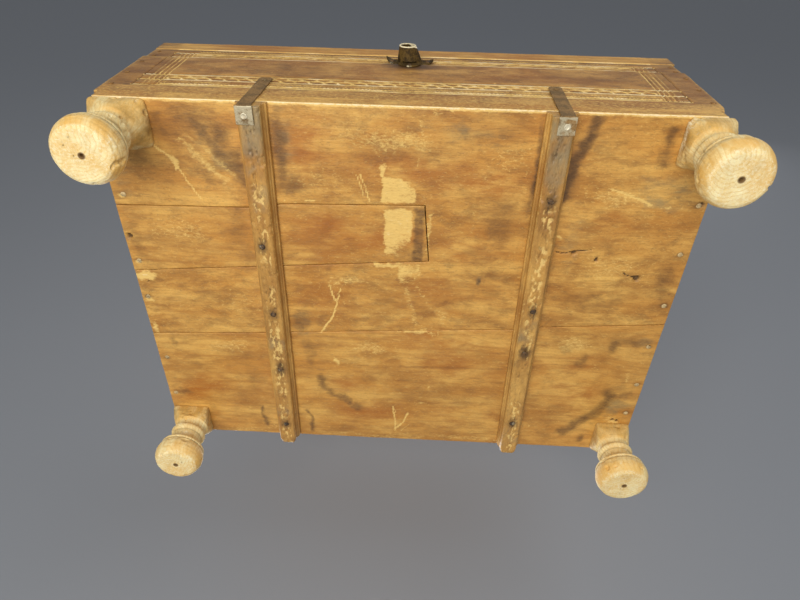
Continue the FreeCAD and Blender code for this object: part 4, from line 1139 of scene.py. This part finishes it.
def iron(name, bright, rust, dark, rub=0.5, metal=0.3, specular=0.5):
    """Old hammered iron: dark scale, brown rust and rubbed grey metal."""
    f = Finish(name)
    dark = tone(dark)
    broad = f.noise((9, 9, 9), 4, 0.6, 0.3)
    fine = f.noise((1.1, 1.1, 1.1), 4, 0.7, 0.0)
    speck = f.noise((0.45, 0.45, 0.45), 3, 0.6, 0.0)
    rusty = f.step(f.plus(broad, f.swing(fine, 0.7)), 0.38, 0.62)
    # worn: rubbed metal where the pale attribute is high, and on the lock its painted highlights
    worn = f.step(f.plus(f.painted("pale"), f.minus(fine, 0.5)), 0.9 - rub, 1.35 - rub)
    colour = f.mix(rusty, dark, tone(rust))
    colour = f.mix(f.times(worn, 0.85), colour, tone(bright))
    colour = f.mix(f.step(speck, 0.58, 0.75, (0.0, 0.5)), colour, dark)
    roughness = f.minus(0.7, f.times(worn, 0.3))
    height = f.plus(f.times(fine, 0.6), f.times(speck, 0.3))
    return f.close(colour, roughness, height, 0.25, f.times(worn, metal), specular)


# ---------------------------------------------------------------- the boards' seams
def seam_at(seam, x):
    return np.interp(x, *np.array(seam).T)


def fitted(y, nominal, seams):
    """Moves y so that each nominal level lands on its seam."""
    result = y.copy()
    for (n0, n1), (s0, s1) in zip(zip(nominal, nominal[1:]), zip(seams, seams[1:])):
        inside = (y >= n0 - 1e-6) & (y <= n1 + 1e-6)
        result[inside] = (s0 + (s1 - s0) * (y - n0) / (n1 - n0))[inside]
    return result


NOMINAL = (0.0, 80.0, 138.0, 204.0, BOX_D)
PATCH_X = sum(PATCH_END) / 2


def lean_end(x, y):
    """Slants the lattice lines beside the patch's cut end, which runs over about 48 mm of y."""
    slant = (PATCH_END[1] - PATCH_END[0]) * ((y - 96) / 48)
    return x + slant * np.clip(1 - np.abs(x - PATCH_X) / 40, 0, 1)


def worn_corner(x, up):
    """Takes off the worn ends of the front, and their chipped lower corners."""
    right = smooth(x, 196, HALF_W) * (1.8 + 4.4 * (1 - smooth(up, 4, 22)))
    left = smooth(-x, 200, HALF_W) * (0.6 + 4.2 * (1 - smooth(up, 2, 14)) + 2.4 * smooth(up, 130, 146))
    return x - right + left


def bend_wall(x, z):
    return worn_corner(x, z - PANEL_Z), z


def seams_of(x):
    return (0 * x, seam_at(PATCH_FRONT, x), seam_at(PATCH_REAR, x), seam_at(REAR_SEAM, x), 0 * x + BOX_D)


def bend_front(x, y):
    s = seams_of(x)
    chip = (smooth(x, 196, HALF_W) * 6.0 - smooth(-x, 200, HALF_W) * 4.6) * (1 - smooth(y, 2, 14))
    return lean_end(x, y) - chip, fitted(y, NOMINAL[:4], s[:4])


def bend_patch(x, y):
    s = seams_of(x)
    moved = fitted(y, NOMINAL[1:3], (s[1] + SEAM, s[2] - SEAM))
    return lean_end(x, y), moved


def bend_rear(x, y):
    s = seams_of(x)
    return x, fitted(y, NOMINAL[3:], (s[3] + SEAM, s[4]))


def with_notch(us, vs):
    """The front bottom board without the stretch that the patch board fills."""
    x, y = (us[1:] + us[:-1]) / 2, (vs[1:] + vs[:-1]) / 2
    solid = np.ones((len(x), len(y)), bool)
    solid[np.ix_(x < PATCH_X, (y > NOMINAL[1]) & (y < NOMINAL[2]))] = False
    return solid


def with_slot(us, vs):
    """The lid board with its coin slot cut out."""
    x, y = (us[1:] + us[:-1]) / 2, (vs[1:] + vs[:-1]) / 2
    solid = np.ones((len(x), len(y)), bool)
    in_length = np.abs(x - SLOT_MIDDLE[0]) < SLOT_HALF[0]
    in_width = np.abs(y - SLOT_MIDDLE[1]) < SLOT_HALF[1]
    solid[np.ix_(in_length, in_width)] = False
    return solid


def banded(low, high, coarse, bands, fine):
    """Lattice lines that are finer inside the bands (start, end)."""
    steps = [low]
    while steps[-1] < high - 3.0:
        here = steps[-1]
        inside = any(a - 1 <= here <= b + 1 for a, b in bands)
        steps.append(here + (3.0 if len(steps) == 1 else fine if inside else coarse))
    return np.array(steps + [high])


# ---------------------------------------------------------------- the pieces
def broken_lines(stops, step):
    """Lattice lines through all of the stops, about a step apart between them."""
    runs = [lines(a, b, step) for a, b in zip(stops, stops[1:])]
    return np.concatenate([runs[0]] + [run[1:] for run in runs[1:]])


def bottom_boards():
    fine = 1.15
    front = wood("bottom_front_wood", 0, (0.3, 0.1, 0), pith=(0.0, 0.06, 0.16), clouds=0.75)
    patch = wood("bottom_patch_wood", 0, (5.3, 2.1, 0), pith=(0.1, -0.05, 0.12), ring=5.0, clouds=0.6)
    rear = wood("bottom_rear_wood", 0, (9.3, 7.1, 0), pith=(0.0, 0.12, 0.14), clouds=0.5)
    worn = {"relief": bottom_relief, "rub": 0.1}
    board("bottom_plank_front", "below", front,
          us=broken_lines((-HALF_W, PATCH_X, HALF_W), fine), vs=broken_lines(NOMINAL[:4], fine),
          bend=bend_front, solid=with_notch, paint=on_bottom_and_front, wall=1.5, edge=1.0, seed=1, **worn)
    board("bottom_patch_board", "below", patch,
          us=lines(-HALF_W, PATCH_X - SEAM, fine), vs=lines(NOMINAL[1], NOMINAL[2], fine),
          bend=bend_patch, paint=on_bottom, edge=0.8, seed=2, **worn)
    board("bottom_plank_rear", "below", rear,
          us=lines(-HALF_W, HALF_W, fine), vs=lines(NOMINAL[3], NOMINAL[4], fine),
          bend=bend_rear, paint=on_bottom, edge=1.0, seed=3, **worn)


def carved_boards():
    """The front wall and the front of the lid's rim, with fine lattices for the carving."""
    tones = ("D4A054", "B47E38", "8A5A26")
    case_wood = wood("front_wood", 0, (3.3, 4.1, 1), tones, pith=(0.0, 0.1, 0.1))
    lid_wood = wood("lid_front_wood", 0, (7.3, 1.1, 5), tones, pith=(0.0, 0.1, 0.2))
    carved = ((CASE_LINES[0] + PANEL_Z, CASE_LINES[-1] + PANEL_Z),)
    for node, material, coarse, bands, edge, seed in (("front_wall", case_wood, 1.4, carved, 0.7, 4),
                                                      ("lid_rim_front", lid_wood, 0.6, (), 0.8, 5)):
        low, high = span(node)
        board(node, "front", material,
              us=banded(-HALF_W, HALF_W, 0.9, ((-196, -175), (175, 196)), 0.6),
              vs=banded(low[2], high[2], coarse, bands, 0.6), bend=bend_wall,
              relief=front_relief, paint=on_front, wall=2.0, edge=edge, seed=seed)


def plain_boards(quiet):
    """The side and back walls and the rest of the lid's rim."""
    side = wood("side_wood", 1, (2.3, 3.1, 8), pith=(0.1, 0.0, 0.1), **quiet)
    back = wood("back_wood", 0, (6.3, 8.1, 2), pith=(0.0, 0.3, 0.12), **quiet)
    for which in ("left", "right"):
        board(which + "_wall", which, side, seed=6)
        board("lid_rim_" + which, which, side, seed=7)
    board("back_wall", "back", back, seed=8)
    board("lid_rim_back", "back", back, seed=9)


def lid_boards(quiet):
    """The three boards of the lid, the middle one with its slot, and the cleats below them."""
    top = {}
    for number, part in enumerate(("front", "middle", "rear")):
        top[part] = wood("lid_" + part + "_board_wood", 0, (number * 3.7, 5.5, number),
                         pith=(0.0, 0.05 * number, 0.1), **quiet)
    board("lid_plank_front", "above", top["front"], steps=(1.6, 1.6),
          paint=on_lid_front, wall=1.3, edge=1.6, seed=10)
    lattice = []
    for low, high, middle, half, step in zip(*span("lid_plank_middle"), SLOT_MIDDLE, SLOT_HALF, (2.0, 1.6)):
        lattice.append(broken_lines((low, middle - half, middle + half, high), step))
    board("lid_plank_middle", "above", top["middle"], us=lattice[0], vs=lattice[1],
          solid=with_slot, two_faced=True, edge=1.2, seed=11)
    board("lid_plank_rear", "above", top["rear"], wall=2, edge=1.5, seed=12)
    cleat = wood("cleat_wood", 1, (1.3, 9.1, 3), pith=(0.0, 0.0, 0.1), **quiet)
    for which in ("left", "right"):
        board("lid_cleat_" + which, "below", cleat, steps=(3.0, 2.0), edge=1.2, seed=13)


def on_bottom_and_front(points):
    """The front bottom board shows its edge below the front wall, so it takes both paints."""
    share = smooth(1.6 - points[:, 1], 0, 1.0) * smooth(points[:, 2] - PANEL_Z, 0.3, 1.2)
    below, front = on_bottom(points), on_front(points)
    return {key: below[key] * (1 - share) + front[key] * share for key in below}


def on_lid_front(points):
    """The front lid board shows its edge above the carved rim, so it takes both paints."""
    share = smooth(4.0 - points[:, 1], 0, 1.5)
    above, front = plain_paint(points), on_front(points)
    return {key: above[key] * (1 - share) + front[key] * share for key in above}


def legs():
    tones = ("FFF0B8", "F8DE9C", "E2BA6E")
    for which, ((x, y), _, _) in LEGS.items():
        pith = tuple(np.array((x + 3, y - 4, 0)) / MM + np.array(MIDDLE))
        material = wood("leg_" + which + "_wood", 2, (x / 9, y / 7, 0), tones, dark="9A7A40", bare="FFF6D2",
                        red="E8B04C", grey="CBB07A", pit="6A4A22", ring=2.7, rings=0.65, clouds=0.35,
                        pith=pith, shine=0.62)
        leg(which, material)


def battens():
    material = wood("batten_wood", 1, (4, 0, 2), ("DCAA58", "BC8A42", "946630"), dark="644A28",
                    bare="F2CC7C", red="B0742E", grey="8E8468", clouds=0.6, pith=(0.02, 0.0, 0.03),
                    shine=0.45)
    for side in ("left", "right"):
        batten(side, material)


def ironwork(nail):
    """The straps, hinges, slot plate and lock."""
    plate = iron("sheet_iron", bright="C4B898", rust="94703E", dark="6E542C", rub=0.7)
    hinge = iron("hinge_iron", bright="8E8674", rust="5C4428", dark="33281E", rub=0.35)
    # the lock's bright tone serves its painted highlights, its dark tone its painted shadow
    lock = iron("lock_iron", bright="FFEFC4", rust="5E4820", dark="33250F", metal=0.0, specular=0.15)
    for number, side in enumerate(("left", "right")):
        forged("corner_strap_" + side, plate, 0.4, 0.35, 400 + number, 0.15, strap_rub)
        forged("hinge_body_leaf_" + side, hinge, 0.5, 0.2, 410 + number, 0.15)
        forged("hinge_lid_leaf_" + side, hinge, 0.5, 0.2, 420 + number, 0.15)
        forged("hinge_pin_" + side, nail, 0.4, 0.1, 430 + number)
    forged("coin_slot_plate", hinge, 0.45, 0.25, 440, 0.15)
    # the nozzle and the tongue carry painted highlights and painted shadow in their pale attribute
    forged("lock_nozzle", lock, 0.35, 0.35, 450, 0.1, nozzle_highlights_and_shadow, spread_ears)
    forged("lock_tongue", lock, 0.3, 0.12, 460, 0.0, tongue_shadow_and_edge_highlight)


def nails(nail):
    """Every group of nails: dark iron, or brown, pale or bright where the photo shows it so."""
    sunk = iron("sunk_nail_iron", bright="B98A4C", rust="9A6E36", dark="7A562A")
    flush = iron("flush_nail_iron", bright="E0C48E", rust="8E6C3C", dark="5A4424", rub=0.6, metal=0.1)
    bright = iron("strap_nail_iron", bright="E4DABC", rust="8E6C3C", dark="6A5028", rub=0.8)
    special = {
        "wall_nails": (sunk, DOMED, None),
        "lid_rim_nails": (sunk, DOMED, None),
        "bottom_nails": (flush, DOMED, pale_rub),
        "strap_nails": (bright, DISHED, strap_rub),
    }
    groups = sorted(node for node in BODY_OF if node.endswith(("_nails", "_nail")))
    for number, node in enumerate(groups):
        material, rows, rubbed = special.get(node, (nail, DOMED, None))
        nail_heads(node, material, 500 + 40 * number, rows, rubbed)


def main():
    bottom_boards()
    carved_boards()
    quiet = {"clouds": 0.25, "rings": 0.4, "fibres": 0.14}      # wood that the photo doesn't show
    plain_boards(quiet)
    lid_boards(quiet)
    legs()
    battens()
    nail = iron("nail_iron", bright="A8987A", rust="6A4C2A", dark="2C2016", rub=0.4)
    ironwork(nail)
    nails(nail)


# ---------------------------------------------------------------- camera, stage and light
CAMERA_AT = (0.00835, -0.29329, -0.33633)
CAMERA_TURN = (143.68, -2.595, -1.072)
LENS, SENSOR = 27.19, 36.0


def camera():
    data = bpy.data.cameras.new("camera")
    data.lens, data.sensor_width = LENS, SENSOR
    data.clip_start, data.clip_end = 0.01, 20.0
    obj = linked("camera", data)
    obj.location = CAMERA_AT
    obj.rotation_euler = [math.radians(a) for a in CAMERA_TURN]
    bpy.context.scene.camera = obj


def one_sided(name, colour):
    """A plain pale surface that is clear from behind, so that no view is blocked by it."""
    f = Finish(name)
    fine = f.noise((1.2, 1.2, 1.2), 3, 0.6)
    broad = f.noise((400, 400, 400), 2, 0.5)
    shade = f.mix(f.step(broad, 0.3, 0.7, (0.0, 0.18)), tone(colour), tone("8E9196"))
    shade = f.mix(f.step(fine, 0.3, 0.7, (0.0, 0.10)), shade, tone("7E8186"))
    inputs = {"Base Color": shade, "Roughness": 0.9, "Specular IOR Level": 0.1}
    surface = f.node("ShaderNodeBsdfPrincipled", inputs)
    clear = f.node("ShaderNodeBsdfTransparent")
    behind = f.node("ShaderNodeNewGeometry").outputs["Backfacing"]
    both = f.node("ShaderNodeMixShader", {0: behind, 1: surface.outputs[0], 2: clear.outputs[0]})
    f.node("ShaderNodeOutputMaterial", {"Surface": both.outputs[0]})
    return f.material


def sheet(name, corners, material):
    mesh = bpy.data.meshes.new(name)
    mesh.from_pydata(corners, [], [(0, 1, 2, 3)])
    mesh.materials.append(material)
    obj = linked(name, mesh)
    obj.visible_shadow = False
    obj.visible_diffuse = False
    obj.visible_glossy = False
    obj.visible_transmission = False


def area_light(name, at, target, size, power, colour=(1.0, 1.0, 1.0)):
    data = bpy.data.lights.new(name, "AREA")
    data.shape, data.size, data.energy, data.color = "DISK", size, power, colour
    obj = linked(name, data)
    obj.location = at
    obj.rotation_euler = (Vector(target) - Vector(at)).to_track_quat("-Z", "Y").to_euler()


def stage():
    cloth = one_sided("pale_stage", "8F9297")
    far, back, foot = 4.0, 0.36, -0.3            # metres: edge of the sheets, and the backdrop's place
    sheet("floor", [(-far, -far, 0), (far, -far, 0), (far, far, 0), (-far, far, 0)], cloth)
    sheet("backdrop", [(-far, back, foot), (far, back, foot), (far, back, far), (-far, back, far)], cloth)
    area_light("key", (-0.25, -0.62, -1.0), (0, 0, 0.08), 0.9, 14.0, (1.0, 0.98, 0.94))
    area_light("front_fill", (0.7, -1.2, 0.3), (0, 0, 0.1), 1.2, 4.5)
    area_light("top", (0.3, 0.55, 1.5), (0, 0, 0.1), 1.2, 20.0)
    area_light("back", (-0.6, 1.3, 0.8), (0, 0, 0.1), 1.0, 14.0)
    world = bpy.data.worlds.new("studio")
    world.use_nodes = True
    background = world.node_tree.nodes["Background"]
    background.inputs["Color"].default_value = (0.72, 0.74, 0.77, 1.0)
    background.inputs["Strength"].default_value = 0.45
    bpy.context.scene.world = world
    bpy.context.scene.view_settings.view_transform = "Standard"


main()
camera()
stage()
bpy.context.view_layer.update()
